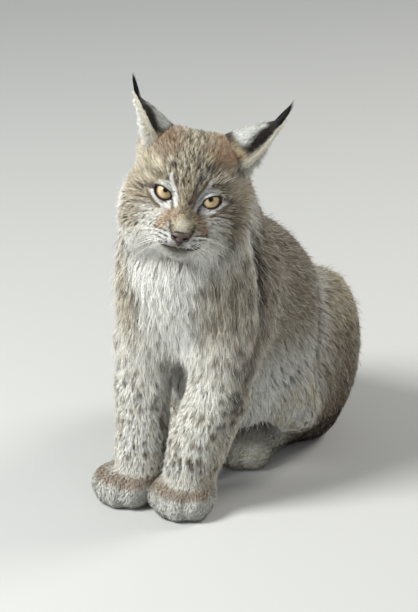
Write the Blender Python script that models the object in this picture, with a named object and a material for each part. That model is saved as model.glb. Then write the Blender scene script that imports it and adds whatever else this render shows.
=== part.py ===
"""A young Eurasian lynx sitting upright, life size, its head turned and tipped towards its left.

Metres, +Z up. The body faces -Y and the animal's left is +X. The solids follow the outside of the coat.
"""

import math
import random

import bmesh
import bpy
import numpy as np
from mathutils import Matrix, Vector

# Driving sizes of the sitting animal.
GAP = 0.0003
FLOOR = 0.0
LOOK_YAW = math.radians(28)
LOOK_PITCH = math.radians(11)
HEAD_ROLL = math.radians(11)

# Places of the main masses, on the animal's midline unless they say otherwise.
HEAD = Vector((0.006, 0.072, 0.390))
NECK = Vector((-0.002, 0.100, 0.325))
CHEST = Vector((-0.004, 0.108, 0.270))
RIBS = Vector((0.000, 0.165, 0.238))
BELLY = Vector((0.002, 0.228, 0.182))
BELLY_FUR = Vector((0.002, 0.186, 0.126))
PELVIS = Vector((0.000, 0.302, 0.120))

# The eyes, the nose and the ears are placed in the head's own axes, whose face looks along -Y.
EYE_RADIUS = 0.0125
EYE_PLACE = Vector((0.0270, -0.0485, 0.0060))
EYE_SLANT = math.radians(24)
LID_THICKNESS = 0.0021
NOSE_PLACE = Vector((0.0, -0.0805, -0.0370))
EAR_ROOT = Vector((0.0510, 0.0060, 0.0490))
EAR_TIP = {"left": Vector((0.0916, 0.0060, 0.1091)), "right": Vector((0.0800, 0.0060, 0.1074))}
EAR_TURN = {"left": math.radians(-30), "right": math.radians(-4)}
EAR_HALF_WIDTH = 0.0290
EAR_HOLLOW = 0.0380
EAR_THICKNESS = 0.0034

# The locks of the long coat: length, width and thickness of each kind, and how far the tip stands off the core.
LOCKS = {
    "ruff": (0.042, 0.0240, 0.0070, 0.0120),
    "bib": (0.048, 0.0270, 0.0075, 0.0120),
    "hem": (0.044, 0.0290, 0.0075, 0.0085),
    "haunch": (0.044, 0.0300, 0.0080, 0.0070),
    "elbow": (0.030, 0.0180, 0.0060, 0.0050),
    "fringe": (0.019, 0.0085, 0.0020, 0.0010),
    "tuft": (0.029, 0.0060, 0.0024, 0.0008),
}

SIDES = {"left": 1, "right": -1}
BETWEEN_PAWS = -0.0178


def head_turn():
    """The head's own axes as a matrix: its left, its back and its top."""
    front = Vector((math.sin(LOOK_YAW) * math.cos(LOOK_PITCH), -math.cos(LOOK_YAW) * math.cos(LOOK_PITCH),
                    math.sin(LOOK_PITCH)))
    level = Vector((math.cos(LOOK_YAW), math.sin(LOOK_YAW), 0.0))
    top = front.cross(level)
    left = level * math.cos(HEAD_ROLL) - top * math.sin(HEAD_ROLL)
    top = top * math.cos(HEAD_ROLL) + level * math.sin(HEAD_ROLL)
    return Matrix((left, -front, top)).transposed()


HEAD_TURN = head_turn()


def from_head(place):
    return HEAD + HEAD_TURN @ Vector(place)


def mirrored(place, side):
    return Vector((place[0] * side, place[1], place[2]))


# Distances: each function below returns one that takes an array of points and gives metres outside the form.
def ellipsoid(centre, radii, turn=None):
    centre, radii = np.array(centre, float), np.array(radii, float)
    axes = np.eye(3) if turn is None else np.array(turn, float)

    def distance(points):
        local = (points - centre) @ axes
        near = np.linalg.norm(local / radii, axis=1)
        slope = np.linalg.norm(local / radii**2, axis=1) + 1e-9
        return near * (near - 1.0) / slope

    return distance


def limb(start, end, start_radius, end_radius):
    start, end = np.array(start, float), np.array(end, float)
    along = end - start

    def distance(points):
        share = np.clip((points - start) @ along / (along @ along), 0.0, 1.0)
        nearest = start + share[:, None] * along
        return np.linalg.norm(points - nearest, axis=1) - (start_radius + share * (end_radius - start_radius))

    return distance


def melted(first, second, reach):
    """The union of two distances, rounded where they meet over the given reach."""
    overlap = np.maximum(reach - np.abs(first - second), 0.0) / reach
    return np.minimum(first, second) - overlap**2 * reach / 4.0


def fused(masses):
    """One distance from (distance, reach) pairs, each melted into those before it."""

    def distance(points):
        total = masses[0][0](points)
        for mass, reach in masses[1:]:
            total = melted(total, mass(points), reach)
        return total

    return distance


def trunk_masses():
    return [
        (ellipsoid(RIBS, (0.092, 0.088, 0.104)), 0.03),
        (ellipsoid(BELLY, (0.104, 0.090, 0.122)), 0.05),
        (ellipsoid(BELLY_FUR, (0.080, 0.068, 0.074)), 0.03),
        (ellipsoid(CHEST, (0.086, 0.068, 0.086)), 0.05),
        (ellipsoid(PELVIS, (0.088, 0.066, 0.104)), 0.05),
        (limb(CHEST + Vector((0, -0.004, 0.02)), NECK, 0.078, 0.074), 0.04),
        (limb(NECK, HEAD + Vector((-0.004, 0.018, -0.02)), 0.074, 0.070), 0.04),
    ]


def head_masses():
    """The head in its own axes: its face looks along -Y."""
    masses = [
        (ellipsoid((0, 0.004, 0.012), (0.064, 0.070, 0.062)), 0.02),
        (ellipsoid((0, -0.020, 0.043), (0.050, 0.038, 0.033)), 0.02),
        (ellipsoid((0, -0.052, -0.034), (0.029, 0.030, 0.024)), 0.016),
        (limb((0, -0.046, 0.016), (0, -0.0740, -0.0280), 0.0180, 0.0115), 0.010),
        (ellipsoid((0, -0.0570, -0.0555), (0.0150, 0.0165, 0.0110)), 0.009),
    ]
    for side in SIDES.values():
        masses += [
            (ellipsoid((0.036 * side, -0.010, -0.024), (0.041, 0.046, 0.045)), 0.03),
            (ellipsoid((0.027 * side, -0.038, 0.026), (0.020, 0.018, 0.011)), 0.012),
            (limb((0.032 * side, 0.004, 0.046), (0.046 * side, 0.008, 0.049), 0.031, 0.023), 0.016),
            (ellipsoid((0.0125 * side, -0.0655, -0.0435), (0.0155, 0.0170, 0.0125)), 0.006),
        ]
    return masses


def eye_hollows():
    """The shallow hollows of the face that the eyes sit in."""
    hollows = []
    for side in SIDES.values():
        turn = Matrix.Rotation(-EYE_SLANT * side, 3, "Y")
        hollows.append(ellipsoid((0.0275 * side, -0.0690, 0.0050), (0.0190, 0.0125, 0.0150), turn))
    return hollows


def head_distance():
    inner = fused(head_masses())
    hollows = eye_hollows()
    centre, turn = np.array(HEAD, float), np.array(HEAD_TURN, float)

    def distance(points):
        local = (points - centre) @ turn
        total = inner(local)
        for hollow in hollows:
            total = -melted(-total, hollow(local), 0.007)
        return total

    return distance


def toes(paw, spread, length, turn):
    """Four toes side by side in front of a paw's middle, the two middle ones further forward."""
    masses = []
    for place, ahead, size in ((-1.5, 0.000, 0.90), (-0.5, 0.011, 1.0), (0.5, 0.011, 1.0), (1.5, 0.000, 0.90)):
        centre = paw + turn @ Vector((place * spread, -0.012 - ahead, -0.006))
        radii = (0.0118 * size, length * size, 0.0190 * size)
        masses.append((ellipsoid(centre, radii, turn), 0.010))
    return masses


# Each foreleg goes down from the shoulder in points with their radii; its paw follows.
FORELEGS = {
    "left": [((0.046, 0.118, 0.270), 0.046), ((0.051, 0.084, 0.190), 0.0405), ((0.050, 0.067, 0.146), 0.0355),
             ((0.041, 0.060, 0.115), 0.0350), ((0.031, 0.052, 0.082), 0.0345), ((0.024, 0.045, 0.050), 0.0330)],
    "right": [((-0.050, 0.118, 0.270), 0.046), ((-0.059, 0.088, 0.190), 0.0385), ((-0.0525, 0.067, 0.135), 0.0325),
              ((-0.0495, 0.060, 0.100), 0.0310), ((-0.047, 0.052, 0.067), 0.0305), ((-0.047, 0.046, 0.045), 0.0300)],
}
FOREPAWS = {"left": Vector((0.021, 0.037, 0.024)), "right": Vector((-0.0565, 0.036, 0.024))}
FOREPAW_TURN = {"left": Matrix.Rotation(math.radians(-3), 3, "Z"), "right": Matrix.Rotation(math.radians(-14), 3, "Z")}


def foreleg_distance(side):
    points = FORELEGS[side]
    paw = FOREPAWS[side]
    turn = FOREPAW_TURN[side]
    masses = [(limb(start, end, wide, narrow), 0.012) for (start, wide), (end, narrow) in zip(points, points[1:])]
    masses.append((ellipsoid(paw + Vector((0, 0.004, -0.002)), (0.0365, 0.0370, 0.0265), turn), 0.012))
    return fused(masses + toes(paw, 0.0190, 0.0215, turn))


HINDLEGS = {
    "left": {"haunch": Vector((0.066, 0.300, 0.122)), "knee": Vector((0.076, 0.218, 0.104)),
             "hock": Vector((0.050, 0.305, 0.029)), "paw": Vector((0.022, 0.200, 0.0215))},
    "right": {"haunch": Vector((-0.070, 0.300, 0.122)), "knee": Vector((-0.080, 0.218, 0.104)),
              "hock": Vector((-0.068, 0.305, 0.029)), "paw": Vector((-0.062, 0.197, 0.0215))},
}
HIND_PAW_TURN = {"left": Matrix.Rotation(math.radians(-12), 3, "Z"), "right": Matrix.Rotation(math.radians(-3), 3, "Z")}


def hindleg_distance(side):
    leg = HINDLEGS[side]
    turn = HIND_PAW_TURN[side]
    masses = [
        (ellipsoid(leg["haunch"], (0.050, 0.080, 0.108)), 0.02),
        (ellipsoid(leg["knee"], (0.036, 0.048, 0.060)), 0.03),
        (limb(leg["knee"], leg["hock"], 0.036, 0.030), 0.03),
        (limb(leg["hock"], leg["paw"], 0.028, 0.024), 0.02),
        (ellipsoid(leg["paw"], (0.033, 0.036, 0.024), turn), 0.012),
    ]
    return fused(masses + toes(leg["paw"], 0.0170, 0.0200, turn))


TAIL_LINE = [Vector((0.000, 0.320, 0.066)), Vector((-0.012, 0.372, 0.036)), Vector((-0.040, 0.404, 0.022)),
             Vector((-0.078, 0.414, 0.020)), Vector((-0.112, 0.404, 0.020))]
TAIL_RADII = (0.032, 0.030, 0.027, 0.025, 0.020)


def tail_distance():
    pairs = zip(TAIL_LINE, TAIL_LINE[1:], TAIL_RADII, TAIL_RADII[1:])
    return fused([(limb(start, end, wide, narrow), 0.01) for start, end, wide, narrow in pairs])


def body_distance():
    """The whole animal but for its ears. The legs melt into the trunk only above the elbow and the hock."""
    trunk = fused(trunk_masses())
    head = head_distance()
    forelegs = [foreleg_distance(side) for side in SIDES]
    hindlegs = [hindleg_distance(side) for side in SIDES]
    tail = tail_distance()

    def distance(points):
        height = points[:, 2]
        rise = np.clip((height - 0.115) / 0.08, 0.0, 1.0)
        foreleg_reach = 0.003 + 0.032 * rise
        hind_rise = np.clip((height - 0.03) / 0.07, 0.0, 1.0)
        total = trunk(points)
        for leg in hindlegs:
            total = melted(total, leg(points), 0.003 + 0.020 * hind_rise)
        for leg in forelegs:
            total = melted(total, leg(points), foreleg_reach)
        total = melted(total, tail(points), 0.015)
        return melted(total, head(points), 0.022)

    return distance


# Where locks cover the body its core stays this deep under the coat's outside: centre, radii and depth of a zone.
LONG_COAT = [
    (from_head((0.066, 0.004, -0.036)), (0.048, 0.060, 0.064), 0.0075),
    (from_head((-0.066, 0.004, -0.036)), (0.048, 0.060, 0.064), 0.0075),
    (from_head((0.000, -0.010, -0.090)), (0.080, 0.060, 0.040), 0.0075),
    (Vector((-0.004, 0.030, 0.242)), (0.090, 0.052, 0.080), 0.0085),
    (Vector((0.095, 0.185, 0.105)), (0.060, 0.085, 0.060), 0.0070),
    (Vector((-0.095, 0.185, 0.105)), (0.060, 0.085, 0.060), 0.0070),
    (Vector((0.095, 0.335, 0.150)), (0.070, 0.070, 0.090), 0.0055),
    (Vector((-0.095, 0.335, 0.150)), (0.070, 0.070, 0.090), 0.0055),
]


def cored(distance):
    """The body without the depth of its long locks."""

    def core(points):
        depth = np.zeros(len(points))
        for centre, radii, most in LONG_COAT:
            far = np.linalg.norm((points - np.array(centre)) / np.array(radii), axis=1)
            depth = np.maximum(depth, most * np.clip(2.2 * (1.0 - far), 0.0, 1.0))
        return distance(points) + depth

    return core


BODY = cored(body_distance())


def gradient(distance, points, step=0.0004):
    """The outward direction of a distance at each point, not made unit length."""
    slope = np.empty_like(points)
    for axis in range(3):
        shift = np.zeros(3)
        shift[axis] = step
        slope[:, axis] = (distance(points + shift) - distance(points - shift)) / (2 * step)
    return slope


def settled(distance, points, rounds=3):
    """Points moved along the gradient onto the surface."""
    points = np.array(points, float)
    for _ in range(rounds):
        slope = gradient(distance, points)
        points = points - (distance(points) / np.maximum((slope**2).sum(axis=1), 0.05))[:, None] * slope
    return points


def surface_net(distance, low, high, cell):
    """A closed mesh of quads round a distance inside a box: (points, faces)."""
    low, high = np.array(low, float), np.array(high, float)
    counts = np.ceil((high - low) / cell).astype(int) + 1
    lines = [low[axis] + cell * np.arange(counts[axis]) for axis in range(3)]
    grid = np.stack(np.meshgrid(*lines, indexing="ij"), axis=-1)
    flat = grid.reshape(-1, 3)
    middle, half = (low + high) / 2, (high - low) / 2 - 1.5 * cell
    boxed = (np.abs(flat - middle) - half).max(axis=1)
    values = np.maximum(distance(flat), boxed).reshape(counts)
    crossed_sum = np.zeros(tuple(counts - 1) + (3,))
    crossed_count = np.zeros(tuple(counts - 1))
    crossings = []
    for axis in range(3):
        ahead = [slice(None)] * 3
        behind = [slice(None)] * 3
        ahead[axis], behind[axis] = slice(1, None), slice(None, -1)
        first, second = values[tuple(behind)], values[tuple(ahead)]
        crosses = (first < 0) != (second < 0)
        share = np.where(crosses, first / np.where(crosses, first - second, 1.0), 0.0)
        place = grid[tuple(behind)].copy()
        place[..., axis] += share * cell
        crossings.append((axis, crosses, first < 0))
        others = [other for other in range(3) if other != axis]
        for shift_a in (0, 1):
            for shift_b in (0, 1):
                part = [slice(None)] * 3
                part[others[0]] = slice(shift_a, counts[others[0]] - 1 + shift_a)
                part[others[1]] = slice(shift_b, counts[others[1]] - 1 + shift_b)
                crossed_sum += place[tuple(part)] * crosses[tuple(part)][..., None]
                crossed_count += crosses[tuple(part)]
    used = crossed_count > 0
    number = np.full(used.shape, -1)
    number[used] = np.arange(used.sum())
    points = crossed_sum[used] / crossed_count[used][:, None]
    faces = []
    for axis, crosses, starts_inside in crossings:
        u_axis, v_axis = (axis + 1) % 3, (axis + 2) % 3
        cells = np.argwhere(crosses)
        cells = cells[(cells[:, u_axis] > 0) & (cells[:, v_axis] > 0)]
        inside = starts_inside[tuple(cells.T)]
        corners = []
        for back_u, back_v in ((1, 1), (0, 1), (0, 0), (1, 0)):
            corner = cells.copy()
            corner[:, u_axis] -= back_u
            corner[:, v_axis] -= back_v
            corners.append(number[tuple(corner.T)])
        quads = np.stack(corners, axis=1)
        quads[~inside] = quads[~inside][:, ::-1]
        faces.append(quads)
    return points, np.concatenate(faces)


# Meshes: each function below makes or changes closed Blender meshes.
def link(name, mesh):
    made = bpy.data.objects.new(name, mesh)
    bpy.context.scene.collection.objects.link(made)
    return made


def mesh_of(name, points, faces):
    mesh = bpy.data.meshes.new(name)
    mesh.from_pydata([tuple(point) for point in points], [], [tuple(face) for face in faces])
    mesh.update()
    return link(name, mesh)


def evaluated(obj):
    """Applies the object's modifiers."""
    graph = bpy.context.evaluated_depsgraph_get()
    mesh = bpy.data.meshes.new_from_object(obj.evaluated_get(graph))
    obj.modifiers.clear()
    old, obj.data = obj.data, mesh
    bpy.data.meshes.remove(old)
    return obj


def discard(obj):
    mesh = obj.data
    bpy.data.objects.remove(obj)
    bpy.data.meshes.remove(mesh)


def decimated(obj, triangles):
    count = sum(len(face.vertices) - 2 for face in obj.data.polygons)
    if count > triangles:
        modifier = obj.modifiers.new("fewer", "DECIMATE")
        modifier.ratio = triangles / count
        modifier.use_collapse_triangulate = True
        evaluated(obj)
    return obj


def merged(obj, within):
    """The object's mesh as triangles with nearby points made one, and whether it is still closed."""
    mesh = bmesh.new()
    mesh.from_mesh(obj.data)
    if within:
        bmesh.ops.remove_doubles(mesh, verts=mesh.verts, dist=within)
        bmesh.ops.dissolve_degenerate(mesh, edges=mesh.edges, dist=within / 2)
    bmesh.ops.triangulate(mesh, faces=mesh.faces)
    loose = [vert for vert in mesh.verts if not vert.link_faces]
    bmesh.ops.delete(mesh, geom=loose, context="VERTS")
    return mesh, all(edge.is_manifold for edge in mesh.edges)


def cleaned(obj):
    """The widest merging, up to a fiftieth of a millimetre, that keeps the surface closed."""
    for within in (0.00002, 0.000008, 0.000003, 0.000001):
        mesh, closed = merged(obj, within)
        if closed:
            return mesh
        mesh.free()
    return merged(obj, 0)[0]


def largest_only(obj):
    """Keeps the one closed surface with the most points."""
    mesh = cleaned(obj)
    left = set(mesh.verts)
    best = set()
    while left:
        start = left.pop()
        found, front = {start}, [start]
        while front:
            for edge in front.pop().link_edges:
                for vert in edge.verts:
                    if vert not in found:
                        found.add(vert)
                        front.append(vert)
        left -= found
        if len(found) > len(best):
            best = found
    bmesh.ops.delete(mesh, geom=[vert for vert in mesh.verts if vert not in best], context="VERTS")
    mesh.to_mesh(obj.data)
    mesh.free()
    return obj


def combined(obj, others, operation):
    """One exact Boolean of the object with a collection of closed meshes, which are then removed."""
    group = bpy.data.collections.new("tools")
    bpy.context.scene.collection.children.link(group)
    for other in others:
        group.objects.link(other)
        bpy.context.scene.collection.objects.unlink(other)
    modifier = obj.modifiers.new("parts", "BOOLEAN")
    modifier.operation = operation
    modifier.operand_type = "COLLECTION"
    modifier.collection = group
    modifier.solver = "EXACT"
    evaluated(obj)
    for other in others:
        discard(other)
    bpy.data.collections.remove(group)
    return obj


def shared(obj, other):
    """The part of the object that lies inside one other closed mesh."""
    modifier = obj.modifiers.new("inside", "BOOLEAN")
    modifier.operation = "INTERSECT"
    modifier.object = other
    modifier.solver = "EXACT"
    evaluated(obj)
    discard(other)
    return obj


def copied(obj, name):
    return link(name, obj.data.copy())


def half_spaces(name, planes, grown):
    """A convex cell: what lies behind every (place, outward direction) plane, each moved out by the given amount."""
    mesh = bmesh.new()
    bmesh.ops.create_cube(mesh, size=1.6)
    for place, outward in planes:
        outward = Vector(outward).normalized()
        geometry = list(mesh.verts) + list(mesh.edges) + list(mesh.faces)
        cut = bmesh.ops.bisect_plane(mesh, geom=geometry, plane_co=Vector(place) + outward * grown,
                                     plane_no=outward, clear_outer=True)
        edges = [item for item in cut["geom_cut"] if isinstance(item, bmesh.types.BMEdge)]
        bmesh.ops.contextual_create(mesh, geom=edges)
    bmesh.ops.recalc_face_normals(mesh, faces=mesh.faces)
    data = bpy.data.meshes.new(name)
    mesh.to_mesh(data)
    mesh.free()
    return link(name, data)


def netted(name, distance, low, high, cell, triangles):
    points, faces = surface_net(distance, low, high, cell)
    inside = np.all((points > np.array(low) + 1.7 * cell) & (points < np.array(high) - 1.7 * cell), axis=1)
    points[inside] = settled(distance, points[inside], 2)
    return decimated(largest_only(mesh_of(name, points, faces)), triangles)


def axes_along(up, towards):
    """A right-handed frame whose third axis is up and whose second leans towards the given direction."""
    up = Vector(up).normalized()
    forward = (Vector(towards) - up * Vector(towards).dot(up)).normalized()
    return Matrix((forward.cross(up), forward, up)).transposed()


def sheet(name, outer, inner):
    """A closed mesh from two grids of points of one shape, joined round their rims."""
    rows, columns = len(outer), len(outer[0])
    points = [point for row in outer for point in row] + [point for row in inner for point in row]
    back = rows * columns
    faces = []
    for row in range(rows - 1):
        for column in range(columns - 1):
            at = row * columns + column
            faces.append((at, at + 1, at + columns + 1, at + columns))
            faces.append((back + at + columns, back + at + columns + 1, back + at + 1, back + at))
    rim = [column for column in range(columns)]
    rim += [row * columns + columns - 1 for row in range(1, rows)]
    rim += [(rows - 1) * columns + column for column in range(columns - 2, -1, -1)]
    rim += [row * columns for row in range(rows - 2, 0, -1)]
    for first, second in zip(rim, rim[1:] + rim[:1]):
        faces.append((second, first, back + first, back + second))
    made = mesh_of(name, points, faces)
    return outward(made)


def outward(obj):
    mesh = bmesh.new()
    mesh.from_mesh(obj.data)
    bmesh.ops.recalc_face_normals(mesh, faces=mesh.faces)
    mesh.to_mesh(obj.data)
    mesh.free()
    return obj


def ear_axes(side):
    """The ear's root and its frame: the cup opens along the second axis, outwards and a little to the front."""
    sign = SIDES[side]
    root = mirrored(EAR_ROOT, sign)
    up = mirrored(EAR_TIP[side], sign) - root
    turn = EAR_TURN[side]
    towards = (0.8 * sign * math.cos(turn), -math.sin(turn), -0.6 * math.cos(turn))
    return root, axes_along(up, towards), up.length


def ear_size(share):
    """Half the ear's width, its hollow and its thickness at a share of its length."""
    width = EAR_HALF_WIDTH * (1.0 - share) ** 0.58 * (1.0 + 0.22 * math.sin(math.pi * min(share * 1.2, 1.0)))
    hollow = EAR_HOLLOW * (1.0 - share) ** 0.84
    return width, hollow, min(EAR_THICKNESS * (1.0 - 0.45 * max(share, 0.0)), 0.42 * hollow)


def ear_surface(side, share, across, inside):
    """A point of the ear: share runs from root to tip, across from edge to edge; inside is 1 in the cup, else 0."""
    root, axes, length = ear_axes(side)
    width, hollow, thickness = ear_size(share)
    angle = across * math.radians(78)
    depth = thickness * inside
    outer = Vector((width * math.sin(angle), -hollow * math.cos(angle) + 0.004 * share, length * share))
    inward = Vector((-math.sin(angle), math.cos(angle), 0)) * depth
    return from_head(root + axes @ (outer + inward))


def ear(side):
    shares = [-0.16, 0.02, 0.16, 0.32, 0.48, 0.64, 0.78, 0.88, 0.95]
    acrosses = [step / 5 - 1 for step in range(11)]
    grids = [[[ear_surface(side, share, across, inside) for across in acrosses] for share in shares]
             for inside in (0, 1)]
    return sheet("ear", *grids)


def eye_axes(side):
    """The eye's frame in the head's axes: the first axis runs along the slit, the second out of the eye."""
    sign = SIDES[side]
    out = Vector((0.26 * sign, -1.0, 0.02)).normalized()
    along = Vector((math.cos(EYE_SLANT) * sign, 0.0, math.sin(EYE_SLANT)))
    along = (along - out * along.dot(out)).normalized()
    return Matrix((along, out, along.cross(out) * -sign)).transposed()


def lid(side, upper):
    """One eyelid: a shell over the eyeball from its edge, which is part of the slit, back under the brow or cheek."""
    axes = eye_axes(side)
    centre = mirrored(EYE_PLACE, SIDES[side])
    edge = math.radians(33 if upper else -27)
    back = math.radians(88 if upper else -84)
    grids = []
    for radius in (EYE_RADIUS + LID_THICKNESS, EYE_RADIUS - 0.0006):
        rows = []
        for row in range(4):
            line = []
            for column in range(9):
                turn = math.radians(-74 + 148 * column / 8)
                near = edge * math.cos(turn * 90 / 78) ** 0.75
                rise = near + (back - near) * row / 3
                away = Vector((math.sin(turn), math.cos(turn) * math.cos(rise), math.cos(turn) * math.sin(rise)))
                flare = (0.0030 if radius > EYE_RADIUS else 0.0) * (row / 3) ** 2
                line.append(from_head(centre + axes @ (away * (radius + flare))))
            rows.append(line)
        grids.append(rows)
    return sheet("lid", *grids)


def eye_opening(side):
    """The cutter for the slit between the lids."""
    axes = eye_axes(side)
    centre = from_head(mirrored(EYE_PLACE, SIDES[side]) + axes @ Vector((0, 0.0125, 0.0004)))
    return ball("opening", centre, (0.0112, 0.0100, 0.0064), HEAD_TURN @ axes, 8, 14)


def ball(name, centre, radii, turn=None, rings=8, segments=12):
    mesh = bmesh.new()
    bmesh.ops.create_uvsphere(mesh, u_segments=segments, v_segments=rings, radius=1.0)
    axes = Matrix.Identity(3) if turn is None else Matrix(turn)
    for vert in mesh.verts:
        vert.co = Vector(centre) + axes @ Vector([vert.co[axis] * radii[axis] for axis in range(3)])
    bmesh.ops.recalc_face_normals(mesh, faces=mesh.faces)
    data = bpy.data.meshes.new(name)
    mesh.to_mesh(data)
    mesh.free()
    return link(name, data)


def eye(name, side, radius, rings=8, segments=14):
    centre = from_head(mirrored(EYE_PLACE, SIDES[side]))
    return ball(name, centre, (radius,) * 3, HEAD_TURN @ Matrix.Rotation(math.radians(90), 3, "X"), rings, segments)


def nose_distance(grown=0.0):
    masses = [
        (ellipsoid((0, 0, 0.0022), (0.0104, 0.0078, 0.0052)), 0.003),
        (ellipsoid((0, 0.0005, -0.0036), (0.0042, 0.0070, 0.0056)), 0.003),
        (ellipsoid((0.0062, 0.0010, -0.0008), (0.0048, 0.0068, 0.0044)), 0.002),
        (ellipsoid((-0.0062, 0.0010, -0.0008), (0.0048, 0.0068, 0.0044)), 0.002),
    ]
    inner = fused(masses)
    centre, turn = np.array(from_head(NOSE_PLACE), float), np.array(HEAD_TURN, float)

    def distance(points):
        return inner((points - centre) @ turn) - grown

    return distance


def nose_mesh(name, grown, triangles):
    centre = from_head(NOSE_PLACE)
    reach = Vector((0.017, 0.017, 0.017))
    return netted(name, nose_distance(grown), centre - reach, centre + reach, 0.0011, triangles)


def nostrils():
    made = []
    for sign in SIDES.values():
        for place, radii in (((0.0050, -0.0068, -0.0010), (0.0021, 0.0034, 0.0017)),
                             ((0.0076, -0.0050, 0.0004), (0.0022, 0.0036, 0.0009))):
            centre = from_head(NOSE_PLACE + mirrored(place, sign))
            made.append(ball("nostril", centre, radii, HEAD_TURN, 6, 8))
    return made


def groove(name, path, width, depth):
    """A closed wedge that follows a path on the head, for cutting a line into it: (place, outward) pairs."""
    points, faces = [], []
    for index, (place, out) in enumerate(path):
        ahead = Vector(path[min(index + 1, len(path) - 1)][0]) - Vector(path[max(index - 1, 0)][0])
        out = Vector(out).normalized()
        across = ahead.normalized().cross(out).normalized()
        for side, lift in ((-1.6, 0.004), (1.6, 0.004), (0.35, -depth), (-0.35, -depth)):
            points.append(from_head(Vector(place) + across * side * width / 2 + out * lift))
    for index in range(len(path) - 1):
        at = index * 4
        for corner in range(4):
            following = (corner + 1) % 4
            faces.append((at + corner, at + following, at + 4 + following, at + 4 + corner))
    faces += [(3, 2, 1, 0), tuple(len(points) - 4 + corner for corner in range(4))]
    return outward(mesh_of(name, points, faces))


def mouth_cutters():
    """The line of the mouth, from corner to corner under the whisker pads, and the cleft under the nose."""
    half = [((0.0000, -0.0800, -0.0515), (0, -1, -0.15)), ((0.0065, -0.0785, -0.0550), (0.3, -1, -0.2)),
            ((0.0140, -0.0730, -0.0560), (0.7, -0.8, -0.2)), ((0.0200, -0.0640, -0.0545), (0.9, -0.5, -0.2)),
            ((0.0250, -0.0530, -0.0510), (1, -0.35, -0.2))]
    other = [((-place[0], place[1], place[2]), (-out[0], out[1], out[2])) for place, out in reversed(half[1:])]
    cleft = [((0, -0.0845, -0.0420), (0, -1, 0)), ((0, -0.0815, -0.0520), (0, -1, -0.1))]
    return [groove("mouth", other + half, 0.0016, 0.0034), groove("cleft", cleft, 0.0013, 0.0022)]


# Locks: flat tapered tufts of long hair, each a closed mesh whose root is sunk into the body.
DICE = random.Random(7)


def lock(kind, root, lie, out, scale=1.0, sunk=0.0035, room=1.0):
    """One lock: it leaves the surface slowly along its lie, then its end stands off by the kind's rise."""
    length, width, thickness, rise = (size * scale * DICE.uniform(0.86, 1.14) for size in LOCKS[kind])
    length = min(length, room)
    root, out = Vector(root), Vector(out).normalized()
    lie = (Vector(lie) - out * Vector(lie).dot(out)).normalized()
    lie = (Matrix.Rotation(DICE.uniform(-0.16, 0.16), 3, out) @ lie).normalized()
    across = lie.cross(out).normalized()
    points = []
    for share, wide, deep in ((-0.10, 0.70, 0.9), (0.30, 1.0, 1.0), (0.62, 0.78, 0.75), (0.85, 0.42, 0.45)):
        lift = rise * max(share, 0.0) ** 0.8 - sunk * (1 - share) ** 2
        middle = root + lie * length * share + out * lift
        points += [middle + across * width * wide / 2, middle + out * thickness * deep / 2,
                   middle - across * width * wide / 2, middle - out * thickness * deep / 2]
    points.append(root + lie * length + out * rise + across * width * DICE.uniform(-0.2, 0.2))
    faces = [(0, 1, 2, 3)]
    for ring in range(3):
        for corner in range(4):
            at, following = ring * 4 + corner, ring * 4 + (corner + 1) % 4
            faces.append((at, following, following + 4, at + 4))
    faces += [(12 + corner, 12 + (corner + 1) % 4, 16) for corner in range(4)]
    return outward(mesh_of("lock", points, faces))


def room_along(place, lie, planes):
    """How far a lock can reach along its lie before it meets the seams given as planes."""
    lie = Vector(lie).normalized()
    reaches = [(Vector(at) - Vector(place)).dot(Vector(out)) / lie.dot(Vector(out))
               for at, out in planes if lie.dot(Vector(out)) > 0.1]
    return min(reaches + [1.0]) - 0.001


def locks_on(kind, rooted, seams=()):
    """Locks of one kind on the body's surface, from (guessed place, lie, scale) each, that end before the seams."""
    places = settled(BODY, np.array([tuple(place) for place, _, _ in rooted]), 5)
    outs = gradient(BODY, places)
    made = []
    for place, out, (_, lie, scale) in zip(places, outs, rooted):
        room = room_along(place, lie, seams)
        if room > 0.45 * LOCKS[kind][0]:
            made.append(lock(kind, place, lie, out, scale, room=room))
    return made


def ruff_locks():
    """Rows that hang from the cheeks, from below the ear round to the throat."""
    rooted = []
    for sign in SIDES.values():
        for back, first, steps, size in ((0.026, 6, 5, 1.0), (-0.006, -2, 4, 0.9)):
            for step in range(steps):
                angle = math.radians(first - step * 14.0)
                under = min(max(-0.7 - angle, 0.0), 1.0)
                place = (sign * 0.078 * math.cos(angle), back, -0.018 + 0.070 * math.sin(angle))
                lie = (sign * (0.50 - 0.4 * under) * math.cos(angle), 0.30 + 0.5 * under, -0.78)
                rooted.append((from_head(place), HEAD_TURN @ Vector(lie), size))
    return locks_on("ruff", rooted, head_cell())


BIB_ROWS = ((0.250, 0.032, 4), (0.226, 0.034, 5), (0.200, 0.044, 4))
THROAT_ROWS = ((0.300, 0.036, 5),)


def bib_locks(rows, seams=()):
    """Rows down the throat or the chest, each lock beside the gap between two of the row above."""
    rooted = []
    for height, front, count in rows:
        for step in range(count):
            x = (step - (count - 1) / 2) * 0.0270
            rooted.append(((x - 0.004, front + 5.0 * x * x, height), (1.4 * x, -0.25, -1.0), 1.0 - 3.0 * abs(x)))
    return locks_on("bib", rooted, seams)


def hem_locks():
    """Rows along the lower edge of the flanks, and of the belly behind the forelegs."""
    rooted = []
    for sign in SIDES.values():
        for height, out, size, first in ((0.102, 0.084, 0.86, 0.140), (0.132, 0.100, 1.0, 0.155)):
            for step in range(3):
                place = (sign * out, first + 0.030 * step, height)
                rooted.append((place, (sign * 0.08, 0.12, -1.0), size))
    for step in range(3):
        rooted.append(((-0.028 + 0.026 * step, 0.128, 0.106), (0.0, -0.10, -1.0), 0.86))
    return locks_on("hem", rooted)


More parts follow.
